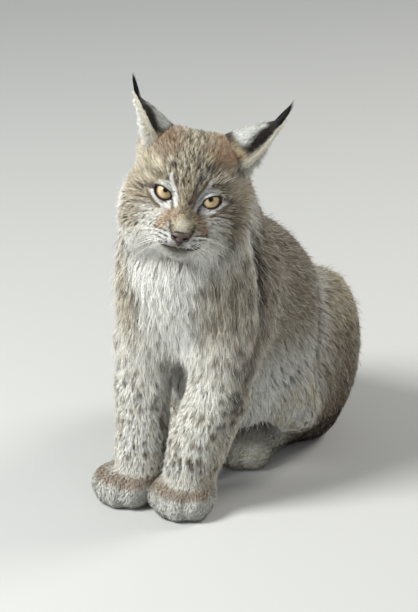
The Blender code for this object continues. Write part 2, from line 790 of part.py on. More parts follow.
def haunch_locks(side):
    sign = SIDES[side]
    rooted = []
    for out, back, height in ((0.085, 0.318, 0.200), (0.108, 0.300, 0.168), (0.078, 0.350, 0.156),
                              (0.108, 0.335, 0.128), (0.080, 0.362, 0.108)):
        rooted.append(((sign * out, back, height), (sign * 0.10, 0.45, -0.85), 1.0))
    return locks_on("haunch", rooted)


def elbow_locks(side):
    points = FORELEGS[side]
    rooted = []
    for index in (2, 3):
        place = Vector(points[index][0]) + Vector((SIDES[side] * 0.010, points[index][1], 0))
        rooted.append((place, (0, 0.35, -1.0), 1.0))
    return locks_on("elbow", rooted)


def ear_locks(side):
    """The tuft at the ear's tip and the fringe along its two edges."""
    _, axes, _ = ear_axes(side)
    up, open_way = HEAD_TURN @ axes @ Vector((0, 0, 1)), HEAD_TURN @ axes @ Vector((0, 1, 0))
    tip = ear_surface(side, 0.88, 0.0, 0.5)
    made = [lock("tuft", tip, up + open_way * lean, open_way, size, 0.0)
            for lean, size in ((0.08, 1.0), (-0.10, 0.86), (0.0, 0.72))]
    for across in (-0.93, 0.93):
        for share in (0.16, 0.38, 0.60):
            place = ear_surface(side, share, across, 0.5)
            away = (place - ear_surface(side, share, 0.0, 0.5)).normalized()
            lie = open_way * 0.55 + up * 0.75 + away * 0.30
            made.append(lock("fringe", place, lie, away, 1.15 - 0.5 * share, 0.0006))
    return made


# The cells that part the animal: each is a list of (place, outward direction) planes round one node.
def head_cell():
    return [(from_head((0, 0, -0.086)), HEAD_TURN @ Vector((0, 0.33, -0.94))),
            (from_head((0, 0.074, 0)), HEAD_TURN @ Vector((0, 0.90, -0.43)))]


def ear_cell(side):
    root, axes, _ = ear_axes(side)
    up = axes @ Vector((0, 0, 1))
    place = from_head(root + up * 0.012)
    return [(place, HEAD_TURN @ -up), (from_head((0.012 * SIDES[side], 0, 0)), HEAD_TURN @ Vector((-SIDES[side], 0, 0)))]


def neck_cell():
    return [((0, 0.09, 0.278), (0, 0.35, -0.94))]


def foreleg_cell(side):
    sign = SIDES[side]
    return [((0, 0.07, 0.168), (0.25 * sign, 0.30, 0.92)), ((0, 0.111, 0.1), (0, 0.97, 0.24)),
            ((BETWEEN_PAWS + GAP / 2 * sign, 0, 0), (-sign, 0, 0))]


def forepaw_cell(side):
    return foreleg_cell(side) + [((0, 0.04, 0.050), (0, -0.35, 0.94))]


def hindleg_cell(side):
    sign = SIDES[side]
    return [((0.040 * sign, 0.30, 0.1), (-sign, -0.12, 0)), ((0, 0.236, 0.20), (0, -0.97, 0.20)),
            ((0, 0.30, 0.238), (0, 0.2, 1))]


def hindpaw_cell(side):
    sign = SIDES[side]
    return [((0, 0.30, 0.050), (0, 0.12, 1)), ((0, 0.290, 0.03), (0, 1, 0)), ((-0.020, 0, 0), (-sign, 0, 0)),
            ((0, 0.118, 0), (0, -1, 0))]


def tail_cell():
    return [((0, 0.368, 0.040), (0.15, -1, 0.05)), ((0, 0.37, 0.082), (0, -0.2, 1)), ((0.045, 0, 0), (1, 0, 0))]


COATS = {
    "pale": ((0.62, 0.57, 0.50), 0.95),
    "brown": ((0.42, 0.34, 0.25), 0.95),
    "belly": ((0.66, 0.64, 0.60), 0.95),
    "dark": ((0.10, 0.09, 0.08), 0.90),
    "nose": ((0.20, 0.12, 0.10), 0.45),
    "iris": ((0.55, 0.36, 0.10), 0.12),
}


def finished(obj, coat):
    """Gives a node its own material and rounds its shading."""
    colour, roughness = COATS[coat]
    material = bpy.data.materials.new(obj.name + "_" + coat)
    material.use_nodes = True
    shader = material.node_tree.nodes["Principled BSDF"]
    shader.inputs["Base Color"].default_value = (*colour, 1.0)
    shader.inputs["Roughness"].default_value = roughness
    shader.inputs["Metallic"].default_value = 0.0
    obj.data.materials.clear()
    obj.data.materials.append(material)
    for face in obj.data.polygons:
        face.material_index = 0
        face.use_smooth = True
    return obj


def taken(source, name, planes, others=()):
    """A node: what the source has inside the planes, less what lies inside the neighbours' own grown cells."""
    node = shared(copied(source, name), half_spaces("cell", planes, 0.0))
    cutters = [half_spaces("cutter", cell, GAP) for cell in others]
    if cutters:
        combined(node, cutters, "DIFFERENCE")
    return largest_only(node)


def region(name, low, high, cell, triangles):
    return netted(name, BODY, low, high, cell, triangles)


def floor_planes():
    return [((0, 0, FLOOR), (0, 0, -1))]


def build_head():
    low, high = HEAD - Vector((0.125, 0.115, 0.125)), HEAD + Vector((0.125, 0.130, 0.105))
    source = region("source", low, high, 0.0042, 3050)
    combined(source, [eye_opening(side) for side in SIDES], "DIFFERENCE")
    added = [ear(side) for side in SIDES] + [lid(side, upper) for side in SIDES for upper in (True, False)]
    for side in SIDES:
        added += ear_locks(side)
    combined(source, added + ruff_locks(), "UNION")
    largest_only(source)
    cuts = [eye("cavity", side, EYE_RADIUS + GAP) for side in SIDES] + mouth_cutters()
    combined(source, cuts + [nose_mesh("nose_cavity", GAP, 300)], "DIFFERENCE")
    largest_only(source)
    for side in SIDES:
        finished(taken(source, "ear_" + side, ear_cell(side)), "dark")
    finished(taken(source, "head", head_cell(), [ear_cell(side) for side in SIDES]), "brown")
    discard(source)
    for side in SIDES:
        finished(eye("eye_" + side, side, EYE_RADIUS), "iris")
    finished(largest_only(combined(nose_mesh("nose", 0.0, 220), nostrils(), "DIFFERENCE")), "nose")


def build_legs():
    ground = floor_planes()
    for side, sign in SIDES.items():
        x = FOREPAWS[side].x
        paw_source = region("source", (x - 0.062, -0.020, -0.014), (x + 0.062, 0.110, 0.085), 0.0046, 800)
        finished(taken(paw_source, "forepaw_" + side, forepaw_cell(side) + ground), "pale")
        discard(paw_source)
        low, high = (-0.012, 0.0, 0.03), (0.115, 0.14, 0.215)
        if sign < 0:
            low, high = (-0.122, 0.0, 0.03), (0.006, 0.14, 0.215)
        leg_source = region("source", low, high, 0.0068, 750)
        combined(leg_source, elbow_locks(side), "UNION")
        finished(taken(leg_source, "foreleg_" + side, foreleg_cell(side), [forepaw_cell(side)]), "pale")
        discard(leg_source)
        hind = HINDLEGS[side]["paw"].x
        foot_source = region("source", (hind - 0.075, 0.10, -0.014), (hind + 0.085, 0.40, 0.085), 0.0056, 1100)
        finished(taken(foot_source, "hindpaw_" + side, hindpaw_cell(side) + ground), "pale")
        discard(foot_source)
        low, high = (0.01, 0.13, -0.02), (0.16, 0.42, 0.27)
        if sign < 0:
            low, high = (-0.16, 0.13, -0.02), (-0.01, 0.42, 0.27)
        thigh_source = region("source", low, high, 0.0095, 900)
        combined(thigh_source, haunch_locks(side), "UNION")
        cells = [hindpaw_cell(each) for each in SIDES] + [tail_cell()]
        finished(taken(thigh_source, "hindleg_" + side, hindleg_cell(side) + ground, cells), "brown")
        discard(thigh_source)


def build_trunk():
    source = region("source", (-0.150, -0.020, -0.020), (0.150, 0.44, 0.47), 0.0085, 2300)
    combined(source, bib_locks(THROAT_ROWS, neck_cell()) + bib_locks(BIB_ROWS) + hem_locks(), "UNION")
    legs = [foreleg_cell(side) for side in SIDES] + [hindleg_cell(side) for side in SIDES]
    legs += [hindpaw_cell(side) for side in SIDES]
    upper = half_spaces("upper", neck_cell(), 0.0)
    neck = shared(copied(source, "neck"), upper)
    combined(neck, [half_spaces("cutter", head_cell(), GAP)], "DIFFERENCE")
    finished(largest_only(neck), "brown")
    lower = half_spaces("lower", [((0, 0.09, 0.278), (0, -0.35, 0.94))] + floor_planes(), -GAP)
    torso = shared(source, lower)
    combined(torso, [half_spaces("cutter", cell, GAP) for cell in legs + [tail_cell(), head_cell()]], "DIFFERENCE")
    torso.name = "torso"
    finished(largest_only(torso), "belly")


def build_tail():
    source = region("source", (-0.165, 0.28, -0.02), (0.10, 0.46, 0.12), 0.0062, 600)
    finished(taken(source, "tail", tail_cell() + floor_planes()), "brown")
    discard(source)


def settle_on_origin():
    """Moves every node so that the middle of the whole box's bottom is the origin."""
    points = np.array([vert.co for obj in bpy.data.objects for vert in obj.data.vertices])
    low, high = points.min(axis=0), points.max(axis=0)
    shift = Matrix.Translation((-(low[0] + high[0]) / 2, -(low[1] + high[1]) / 2, -low[2]))
    for obj in bpy.data.objects:
        obj.data.transform(shift)


def main():
    for obj in list(bpy.data.objects):
        bpy.data.objects.remove(obj)
    build_head()
    build_legs()
    build_trunk()
    build_tail()
    settle_on_origin()


if __name__ == "__main__":
    main()
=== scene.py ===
"""A young Eurasian lynx, sitting: its skin, coat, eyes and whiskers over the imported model, in a plain studio.

Metres, +Z up. Forms are worked out in the animal's own frame, whose origin is on the floor by the tips of the
forepaws' toes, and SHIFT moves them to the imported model's frame.
"""
import math

import bmesh
import bpy
import numpy as np
from mathutils import Matrix, Vector


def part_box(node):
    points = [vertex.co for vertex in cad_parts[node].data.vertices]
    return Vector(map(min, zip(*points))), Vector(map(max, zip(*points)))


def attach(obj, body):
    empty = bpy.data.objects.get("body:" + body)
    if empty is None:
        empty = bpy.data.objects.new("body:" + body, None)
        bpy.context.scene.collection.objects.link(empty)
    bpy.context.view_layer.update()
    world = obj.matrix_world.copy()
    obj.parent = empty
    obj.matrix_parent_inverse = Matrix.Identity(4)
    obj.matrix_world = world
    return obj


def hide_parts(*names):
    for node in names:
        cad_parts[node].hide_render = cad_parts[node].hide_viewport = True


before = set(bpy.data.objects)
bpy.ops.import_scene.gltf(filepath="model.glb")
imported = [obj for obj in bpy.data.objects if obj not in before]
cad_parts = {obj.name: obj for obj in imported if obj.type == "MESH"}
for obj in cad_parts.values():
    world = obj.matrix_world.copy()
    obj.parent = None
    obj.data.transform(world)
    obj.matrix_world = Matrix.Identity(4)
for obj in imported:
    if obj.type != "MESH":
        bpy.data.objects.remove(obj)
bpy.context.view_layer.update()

# Driving sizes, the same as the part's.
LOOK_YAW = math.radians(28)
LOOK_PITCH = math.radians(11)
HEAD_ROLL = math.radians(11)
HEAD = np.array((0.006, 0.072, 0.390))
NECK = np.array((-0.002, 0.100, 0.325))
CHEST = np.array((-0.004, 0.108, 0.270))
RIBS = np.array((0.000, 0.165, 0.238))
BELLY = np.array((0.002, 0.228, 0.182))
BELLY_FUR = np.array((0.002, 0.186, 0.126))
PELVIS = np.array((0.000, 0.302, 0.120))
EYE_RADIUS = 0.0125
EYE_PLACE = np.array((0.0270, -0.0485, 0.0060))
EYE_SLANT = math.radians(24)
NOSE_PLACE = np.array((0.0, -0.0805, -0.0370))
EAR_ROOT = np.array((0.0510, 0.0060, 0.0490))
EAR_TIP = {"left": np.array((0.0916, 0.0060, 0.1091)), "right": np.array((0.0800, 0.0060, 0.1074))}
EAR_HALF_WIDTH = 0.0290
EAR_HOLLOW = 0.0380
EAR_TURN = {"left": math.radians(-30), "right": math.radians(-4)}
SIDES = {"left": 1, "right": -1}

# Sizes of the looks alone.
IRIS_RADIUS = 0.0104
PUPIL_RADIUS = 0.0027
CORNEA_RADIUS = 0.0095
CORNEA_RISE = 0.0009
GAZE = {"left": (-0.03, -1.0, 0.25), "right": (0.05, -1.0, 0.33)}
UPPER_LID = 0.0059
LOWER_LID = 0.0065
TUFT_LIFT = {"left": 0.55, "right": 0.92}
TUFT_REACH = 0.0225
EAR_ROWS = 44
EAR_COLUMNS = 36
HEAD_CELL = 0.0016
BODY_CELL = 0.0034
NET_BLOCK = 4
NECK_OVERLAP = 0.006
FLOOR_GAP = 0.0006
SKIN_FLOOR_GAP = 0.0012
BAKE_PATCH = 0.003
FEWEST_FACES = 20

# How much darker the skin and the lower halves of the blades are than the coat's tips.
SKIN_SHADE = 0.66
ROOT_SHADE = np.array((0.76, 0.74, 0.70))

# The photograph's camera: its direction, how far it is, and the size of a pixel at the forepaws.
PICTURE = (418, 612)
CAMERA_AZIMUTH = math.radians(28)
CAMERA_HEIGHT = math.radians(22)
CAMERA_DISTANCE = 3.4
PIXEL = 0.0012
PAW_PIXEL = (155, 518)

# The studio: each lamp's place, what it points at, its size, power and colour.
LAMPS = {
    "key": ((-1.3, -1.9, 2.3), (0, -0.05, 0.25), 1.2, 150, (0.98, 1.0, 0.97)),
    "fill": ((2.1, -1.6, 1.2), (0, -0.05, 0.25), 2.0, 6, (0.95, 0.98, 1.0)),
    "rim": ((1.3, 1.7, 1.9), (0, 0.05, 0.25), 1.1, 42, (1.0, 0.97, 0.90)),
}
SKY_COLOUR = (0.90, 0.96, 1.0, 1.0)
SKY_STRENGTH = 0.29
FLOOR_COLOUR = (0.50, 0.498, 0.49, 1.0)

# Every random draw comes from here, so their order counts.
DICE = np.random.default_rng(11)


def unit(vectors):
    vectors = np.asarray(vectors, float)
    return vectors / np.maximum(np.linalg.norm(vectors, axis=-1, keepdims=True), 1e-9)


def head_turn():
    """The head's own axes as columns: its left, its back and its top."""
    front = np.array((math.sin(LOOK_YAW) * math.cos(LOOK_PITCH), -math.cos(LOOK_YAW) * math.cos(LOOK_PITCH),
                      math.sin(LOOK_PITCH)))
    level = np.array((math.cos(LOOK_YAW), math.sin(LOOK_YAW), 0.0))
    top = np.cross(front, level)
    left = level * math.cos(HEAD_ROLL) - top * math.sin(HEAD_ROLL)
    top = top * math.cos(HEAD_ROLL) + level * math.sin(HEAD_ROLL)
    return np.stack([left, -front, top], axis=1)


HEAD_TURN = head_turn()


def from_head(places):
    return HEAD + np.asarray(places, float) @ HEAD_TURN.T


def to_head(places):
    return (places - HEAD) @ HEAD_TURN


def mirrored(place, sign):
    return np.asarray(place, float) * np.array((sign, 1.0, 1.0))


def packed_eye_middle():
    low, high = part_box("eye_left")
    return (np.array(low) + np.array(high)) / 2


SHIFT = packed_eye_middle() - from_head(EYE_PLACE)


def about(angle, axis="Z"):
    return np.array(Matrix.Rotation(angle, 3, axis))


# Distances: each function below returns one that takes an array of points and gives metres outside the form.
def ellipsoid(centre, radii, turn=None):
    centre, radii = np.array(centre, float), np.array(radii, float)
    axes = np.eye(3) if turn is None else np.array(turn, float)

    def distance(points):
        local = (points - centre) @ axes
        near = np.linalg.norm(local / radii, axis=1)
        slope = np.linalg.norm(local / radii**2, axis=1) + 1e-9
        return near * (near - 1.0) / slope

    return distance


def limb(start, end, start_radius, end_radius):
    start, end = np.array(start, float), np.array(end, float)
    along = end - start

    def distance(points):
        share = np.clip((points - start) @ along / (along @ along), 0.0, 1.0)
        nearest = start + share[:, None] * along
        return np.linalg.norm(points - nearest, axis=1) - (start_radius + share * (end_radius - start_radius))

    return distance


def melted(first, second, reach):
    """The union of two distances, rounded where they meet over the given reach."""
    overlap = np.maximum(reach - np.abs(first - second), 0.0) / reach
    return np.minimum(first, second) - overlap**2 * reach / 4.0


def fused(masses):
    def distance(points):
        total = masses[0][0](points)
        for mass, reach in masses[1:]:
            total = melted(total, mass(points), reach)
        return total

    return distance


def trunk_masses():
    return [
        (ellipsoid(RIBS, (0.092, 0.088, 0.104)), 0.03),
        (ellipsoid(BELLY, (0.104, 0.090, 0.122)), 0.05),
        (ellipsoid(BELLY_FUR, (0.080, 0.068, 0.074)), 0.03),
        (ellipsoid(CHEST, (0.086, 0.068, 0.086)), 0.05),
        (ellipsoid(PELVIS, (0.088, 0.066, 0.104)), 0.05),
        (limb(CHEST + (0, -0.004, 0.02), NECK, 0.078, 0.074), 0.04),
        (limb(NECK, HEAD + (-0.004, 0.018, -0.02), 0.074, 0.070), 0.04),
    ]


def head_masses():
    """The head in its own axes: its face looks along -Y."""
    masses = [
        (ellipsoid((0, 0.004, 0.012), (0.064, 0.070, 0.062)), 0.02),
        (ellipsoid((0, -0.020, 0.043), (0.050, 0.038, 0.033)), 0.02),
        (ellipsoid((0, -0.052, -0.034), (0.029, 0.030, 0.024)), 0.016),
        (limb((0, -0.046, 0.016), (0, -0.0740, -0.0280), 0.0180, 0.0115), 0.010),
        (ellipsoid((0, -0.0570, -0.0555), (0.0150, 0.0165, 0.0110)), 0.009),
    ]
    for sign in SIDES.values():
        masses += [
            (ellipsoid((0.036 * sign, -0.010, -0.024), (0.041, 0.046, 0.045)), 0.03),
            (ellipsoid((0.027 * sign, -0.038, 0.026), (0.020, 0.018, 0.011)), 0.012),
            (limb((0.032 * sign, 0.004, 0.046), (0.046 * sign, 0.008, 0.049), 0.031, 0.023), 0.016),
            (ellipsoid((0.0125 * sign, -0.0655, -0.0435), (0.0155, 0.0170, 0.0125)), 0.006),
        ]
    return masses


def eye_hollows():
    radii = (0.0190, 0.0125, 0.0150)
    return [ellipsoid((0.0275 * sign, -0.0690, 0.0050), radii, about(-EYE_SLANT * sign, "Y"))
            for sign in SIDES.values()]


def head_distance():
    inner, hollows = fused(head_masses()), eye_hollows()

    def distance(points):
        local = to_head(points)
        total = inner(local)
        for hollow in hollows:
            total = -melted(-total, hollow(local), 0.007)
        return total

    return distance


def toes(paw, spread, length, turn):
    masses = []
    for place in (-1.5, -0.5, 0.5, 1.5):
        ahead, size = (0.011, 1.0) if abs(place) < 1 else (0.000, 0.90)
        centre = paw + turn @ np.array((place * spread, -0.012 - ahead, -0.006))
        masses.append((ellipsoid(centre, (0.0122 * size, length * size, 0.0182 * size), turn), 0.018))
    return masses


FORELEGS = {
    "left": [((0.046, 0.118, 0.270), 0.046), ((0.051, 0.084, 0.190), 0.0405),
             ((0.050, 0.067, 0.146), 0.0355), ((0.041, 0.060, 0.115), 0.0350),
             ((0.031, 0.052, 0.082), 0.0345), ((0.024, 0.045, 0.050), 0.0330)],
    "right": [((-0.050, 0.118, 0.270), 0.046), ((-0.059, 0.088, 0.190), 0.0385),
              ((-0.0525, 0.067, 0.135), 0.0325), ((-0.0495, 0.060, 0.100), 0.0310),
              ((-0.047, 0.052, 0.067), 0.0305), ((-0.047, 0.046, 0.045), 0.0300)],
}
FOREPAWS = {"left": np.array((0.021, 0.037, 0.024)), "right": np.array((-0.0565, 0.036, 0.024))}
FOREPAW_TURN = {"left": about(math.radians(-3)), "right": about(math.radians(-14))}


def foreleg_distance(side):
    points, paw, turn = FORELEGS[side], FOREPAWS[side], FOREPAW_TURN[side]
    pairs = zip(points, points[1:])
    masses = [(limb(start, end, wide, narrow), 0.012) for (start, wide), (end, narrow) in pairs]
    masses.append((ellipsoid(paw + (0, 0.004, -0.002), (0.0365, 0.0370, 0.0235), turn), 0.012))
    return fused(masses + toes(paw, 0.0190, 0.0215, turn))


HINDLEGS = {
    "left": {"haunch": (0.066, 0.300, 0.122), "knee": (0.076, 0.218, 0.104),
             "hock": (0.050, 0.305, 0.029), "paw": (0.022, 0.200, 0.0215)},
    "right": {"haunch": (-0.070, 0.300, 0.122), "knee": (-0.080, 0.218, 0.104),
              "hock": (-0.068, 0.305, 0.029), "paw": (-0.062, 0.197, 0.0215)},
}
HIND_PAW_TURN = {"left": about(math.radians(-12)), "right": about(math.radians(-3))}


def hindleg_distance(side):
    leg, turn = HINDLEGS[side], HIND_PAW_TURN[side]
    masses = [
        (ellipsoid(leg["haunch"], (0.050, 0.080, 0.108)), 0.02),
        (ellipsoid(leg["knee"], (0.036, 0.048, 0.060)), 0.03),
        (limb(leg["knee"], leg["hock"], 0.036, 0.030), 0.03),
        (limb(leg["hock"], leg["paw"], 0.028, 0.024), 0.02),
        (ellipsoid(leg["paw"], (0.033, 0.036, 0.024), turn), 0.012),
    ]
    return fused(masses + toes(np.array(leg["paw"]), 0.0170, 0.0200, turn))


TAIL_LINE = np.array([(0.000, 0.320, 0.066), (-0.012, 0.372, 0.036), (-0.040, 0.404, 0.022),
                      (-0.078, 0.414, 0.020), (-0.112, 0.404, 0.020)])
TAIL_RADII = (0.032, 0.030, 0.027, 0.025, 0.020)


def tail_distance():
    pairs = zip(TAIL_LINE, TAIL_LINE[1:], TAIL_RADII, TAIL_RADII[1:])
    return fused([(limb(start, end, wide, narrow), 0.01) for start, end, wide, narrow in pairs])


PARTS = ("trunk", "head", "foreleg_left", "foreleg_right", "hindleg_left", "hindleg_right", "tail")
PART_DISTANCES = [fused(trunk_masses()), head_distance()]
PART_DISTANCES += [foreleg_distance(side) for side in SIDES] + [hindleg_distance(side) for side in SIDES]
PART_DISTANCES.append(tail_distance())


def distances(points):
    """Each part's own distance."""
    return [distance(points) for distance in PART_DISTANCES]


def ramp(values, start, end):
    """A smooth rise from 0 at start to 1 at end; start may be the larger of the two."""
    share = np.clip((values - start) / (end - start), 0.0, 1.0)
    return share * share * (3.0 - 2.0 * share)


def repeated(value, points):
    """One colour or direction for every point."""
    return np.tile(value, (len(points), 1))


def mix(first, second, share):
    """Blends colours or directions by a share for each point, or by one share for all."""
    share = np.asarray(share, float)
    share = share[:, None] if share.ndim else share
    return first * (1.0 - share) + second * share


def line_distance(points, line, radius):
    """The distance to a tube round a line of points, at most 1."""
    line = np.asarray(line, float)
    total = np.full(len(points), 1.0)
    for start, end in zip(line, line[1:]):
        total = np.minimum(total, limb(start, end, radius, radius)(points))
    return total


def body_of(parts, points):
    """The whole animal but for its ears, to the outside of the coat, from its parts' distances."""
    height = points[:, 2]
    total = parts[0]
    for leg in parts[4:6]:
        total = melted(total, leg, 0.003 + 0.020 * np.clip((height - 0.03) / 0.07, 0.0, 1.0))
    for leg in parts[2:4]:
        total = melted(total, leg, 0.003 + 0.032 * np.clip((height - 0.115) / 0.08, 0.0, 1.0))
    return melted(melted(total, parts[6], 0.015), parts[1], 0.022)


# The folds of the coat on the left side, mirrored on the right: behind the shoulder, and in front of the
# haunch. For each: how deep it is, how far it reaches to either side, and its path.
FOLDS = [
    (0.0085, 0.0120, [(0.0840, 0.0893, 0.3515), (0.0891, 0.0927, 0.3163), (0.0960, 0.0901, 0.2807),
                      (0.0970, 0.0913, 0.2424), (0.0949, 0.0880, 0.2112), (0.0926, 0.0722, 0.1846),
                      (0.0886, 0.0648, 0.1544)]),
    (0.0075, 0.0180, [(0.0729, 0.2889, 0.2360), (0.0964, 0.2525, 0.2238), (0.1058, 0.2398, 0.1904),
                      (0.1110, 0.2330, 0.1546), (0.1150, 0.2120, 0.1248), (0.1085, 0.1920, 0.0908),
                      (0.0888, 0.1890, 0.0589)]),
]


def one_sided(points):
    """Both sides of the animal, or of its face, as one."""
    return np.column_stack([np.abs(points[:, 0]), points[:, 1:]])


def fold_depth(points):
    """How deep the coat is folded in at each point."""
    side = one_sided(points)
    depth = np.zeros(len(points))
    near = np.flatnonzero((side[:, 0] > 0.05) & (points[:, 2] > 0.035) & (points[:, 2] < 0.37))
    for most, reach, path in FOLDS:
        depth[near] = np.maximum(depth[near], most * ramp(line_distance(side[near], path, 0.0), reach, 0.0))
    return depth


def behind(points, fold):
    """From 0 in front of a fold to 1 behind it."""
    path = np.array(FOLDS[fold][2])[::-1]
    return ramp(points[:, 1] - np.interp(points[:, 2], path[:, 2], path[:, 1]), -0.0035, 0.0035)


def outside(parts, points):
    """The outside of the coat, with its folds."""
    return body_of(parts, points) + fold_depth(points)


# The coat: how long the hair is, and how deep it stands, part by part.
def nearness(local):
    """How far a place on the head is from the nose and from the nearer eye."""
    nose = np.linalg.norm(local - (0, -0.078, -0.036), axis=1)
    eye = EYE_PLACE + (0, -0.010, 0)
    eyes = [np.linalg.norm(local - mirrored(eye, sign), axis=1) for sign in SIDES.values()]
    return nose, np.minimum(*eyes)


def head_length(local):
    nose, eye = nearness(local)
    length = 0.0034 + 0.0245 * ramp(nose, 0.016, 0.118)
    length *= 1.0 - 0.55 * ramp(local[:, 2], -0.010, 0.040) * ramp(local[:, 1], 0.070, 0.000)
    length *= 1.0 - 0.45 * ramp(eye, 0.030, 0.014)
    return length + 0.0100 * ramp(local[:, 2], -0.055, -0.066) * ramp(np.abs(local[:, 0]), 0.040, 0.020)


def trunk_length(points):
    chest = ramp(points[:, 1], 0.11, 0.05) * ramp(points[:, 2], 0.13, 0.18)
    belly = ramp(points[:, 2], 0.15, 0.09)
    return 0.018 + 0.011 * chest + 0.009 * np.maximum(belly - chest, 0.0)


def foreleg_length(points):
    return 0.0058 + 0.0056 * ramp(points[:, 2], 0.034, 0.050) + 0.013 * ramp(points[:, 2], 0.12, 0.21)


def hindleg_length(points):
    return 0.0070 + 0.011 * ramp(points[:, 2], 0.040, 0.110) + 0.008 * ramp(points[:, 2], 0.180, 0.225)


def tail_length(points):
    return np.full(len(points), 0.020)


def part_weights(parts, reach=0.007):
    parts = np.stack(parts, axis=1)
    weights = np.exp(-(parts - parts.min(axis=1, keepdims=True)) / reach)
    return weights / weights.sum(axis=1, keepdims=True)


# The coat's depth as a share of the hair's length, part by part.
DEPTH_SHARES = np.array((0.48, 0.36, 0.44, 0.44, 0.48, 0.48, 0.40))


def coat(points, weights):
    """The hair's length and the coat's depth at each point."""
    lengths = np.stack([trunk_length(points), head_length(to_head(points))] + [foreleg_length(points)] * 2
                       + [hindleg_length(points)] * 2 + [tail_length(points)], axis=1)
    return (lengths * weights).sum(axis=1), (lengths * DEPTH_SHARES * weights).sum(axis=1)


def eye_axes(sign):
    """The eye's frame in the head's axes: the first axis runs along the slit, the second out of the eye."""
    out = unit((0.26 * sign, -1.0, 0.02))
    along = np.array((math.cos(EYE_SLANT) * sign, 0.0, math.sin(EYE_SLANT)))
    along = unit(along - out * (along @ out))
    return np.stack([along, out, np.cross(along, out) * -sign], axis=1)


def eye_slits():
    made = []
    for sign in SIDES.values():
        axes = eye_axes(sign)
        centre = mirrored(EYE_PLACE, sign) + axes @ np.array((0, 0.0125, 0.0004))
        made.append(ellipsoid(centre, (0.0130, 0.0120, 0.0082), axes))
        made.append(ellipsoid(mirrored(EYE_PLACE, sign), (EYE_RADIUS + 0.0004,) * 3))
    return made


# The line of the mouth in the head's own axes, from its right corner to its left one.
MOUTH = np.array([(-0.0215, -0.0715, -0.0470), (-0.0165, -0.0762, -0.0492), (-0.0092, -0.0785, -0.0524),
                  (0.0000, -0.0775, -0.0536), (0.0092, -0.0785, -0.0517), (0.0175, -0.0762, -0.0482),
                  (0.0240, -0.0712, -0.0460)])
SLITS = eye_slits()


def skin_distance(points):
    parts = distances(points)
    _, depth = coat(points, part_weights(parts))
    total = outside(parts, points) + depth
    near = np.flatnonzero(np.abs(parts[1]) < 0.03)
    local = to_head(points[near])
    face = total[near]
    for slit in SLITS:
        face = np.maximum(face, -slit(local))
    face = -melted(-face, line_distance(local, MOUTH + (0, 0.0015, 0), 0.0012), 0.0025)
    total[near] = face
    return total


# Nets: closed meshes round a distance, worked out only near its surface.
def gradient(distance, points, step=0.0004):
    slope = np.empty_like(points)
    for axis in range(3):
        shift = np.zeros(3)
        shift[axis] = step
        slope[:, axis] = (distance(points + shift) - distance(points - shift)) / (2 * step)
    return slope


def settled(distance, points, rounds=2):
    for _ in range(rounds):
        slope = gradient(distance, points)
        points = points - (distance(points) / np.maximum((slope**2).sum(axis=1), 0.05))[:, None] * slope
    return points


def banded_values(distance, lines, cell):
    """Distances on a grid: exact within a band round the surface, and coarse outside it."""
    coarse_lines = [line[::NET_BLOCK] for line in lines]
    coarse = np.stack(np.meshgrid(*coarse_lines, indexing="ij"), axis=-1)
    near = distance(coarse.reshape(-1, 3)).reshape(coarse.shape[:3])
    for axis in range(3):
        near = np.repeat(near, NET_BLOCK, axis=axis)
    near = near[tuple(slice(0, len(line)) for line in lines)]
    values = near.copy()
    band = np.argwhere(np.abs(near) < 2.6 * NET_BLOCK * cell)
    places = np.stack([lines[axis][band[:, axis]] for axis in range(3)], axis=1)
    values[tuple(band.T)] = distance(places)
    return values


def crossed_edges(values, lines, cell, axis):
    """The grid's edges along an axis that the surface crosses: cells, crossings, and which start inside."""
    before, after = [slice(None)] * 3, [slice(None)] * 3
    before[axis], after[axis] = slice(None, -1), slice(1, None)
    first, second = values[tuple(before)], values[tuple(after)]
    cells = np.argwhere((first < 0) != (second < 0))
    first, second = first[tuple(cells.T)], second[tuple(cells.T)]
    places = np.stack([lines[each][cells[:, each]] for each in range(3)], axis=1)
    places[:, axis] += cell * first / (first - second)
    return cells, places, first < 0


def stepped_back(cells, axes, steps):
    moved = cells.copy()
    moved[:, axes] -= steps
    return moved


def quads_round(cells, starts_inside, axis, number, counts):
    """A quad round each crossed edge, from the four cells that share it."""
    others = [(axis + 1) % 3, (axis + 2) % 3]
    fit = ((cells[:, others] > 0) & (cells[:, others] < (counts - 1)[others])).all(axis=1)
    cells, starts_inside = cells[fit], starts_inside[fit]
    corners = [stepped_back(cells, others, steps) for steps in ((1, 1), (0, 1), (0, 0), (1, 0))]
    quads = np.stack([number[tuple(corner.T)] for corner in corners], axis=1)
    quads[~starts_inside] = quads[~starts_inside][:, ::-1]
    return quads


def surface_net(distance, low, high, cell):
    """Quads round a distance inside a box, left open where they meet its sides: (points, faces)."""
    counts = np.ceil((np.array(high) - low) / cell / NET_BLOCK).astype(int) * NET_BLOCK + 1
    lines = [low[axis] + cell * np.arange(counts[axis]) for axis in range(3)]
    values = banded_values(distance, lines, cell)
    edges = [crossed_edges(values, lines, cell, axis) for axis in range(3)]
    total = np.zeros(tuple(counts - 1) + (3,), np.float32)
    count = np.zeros(tuple(counts - 1), np.int8)
    for axis, (cells, places, _) in enumerate(edges):
        others = [other for other in range(3) if other != axis]
        for steps in ((0, 0), (0, 1), (1, 0), (1, 1)):
            corner = stepped_back(cells, others, steps)
            fit = ((corner >= 0) & (corner < counts - 1)).all(axis=1)
            np.add.at(total, tuple(corner[fit].T), places[fit])
            np.add.at(count, tuple(corner[fit].T), 1)
    used = count > 0
    number = np.full(used.shape, -1)
    number[used] = np.arange(used.sum())
    faces = [quads_round(cells, starts_inside, axis, number, counts)
             for axis, (cells, _, starts_inside) in enumerate(edges)]
    return total[used].astype(float) / count[used][:, None], np.concatenate(faces)


def triangles_of(quads):
    return np.concatenate([quads[:, [0, 1, 2]], quads[:, [0, 2, 3]]])


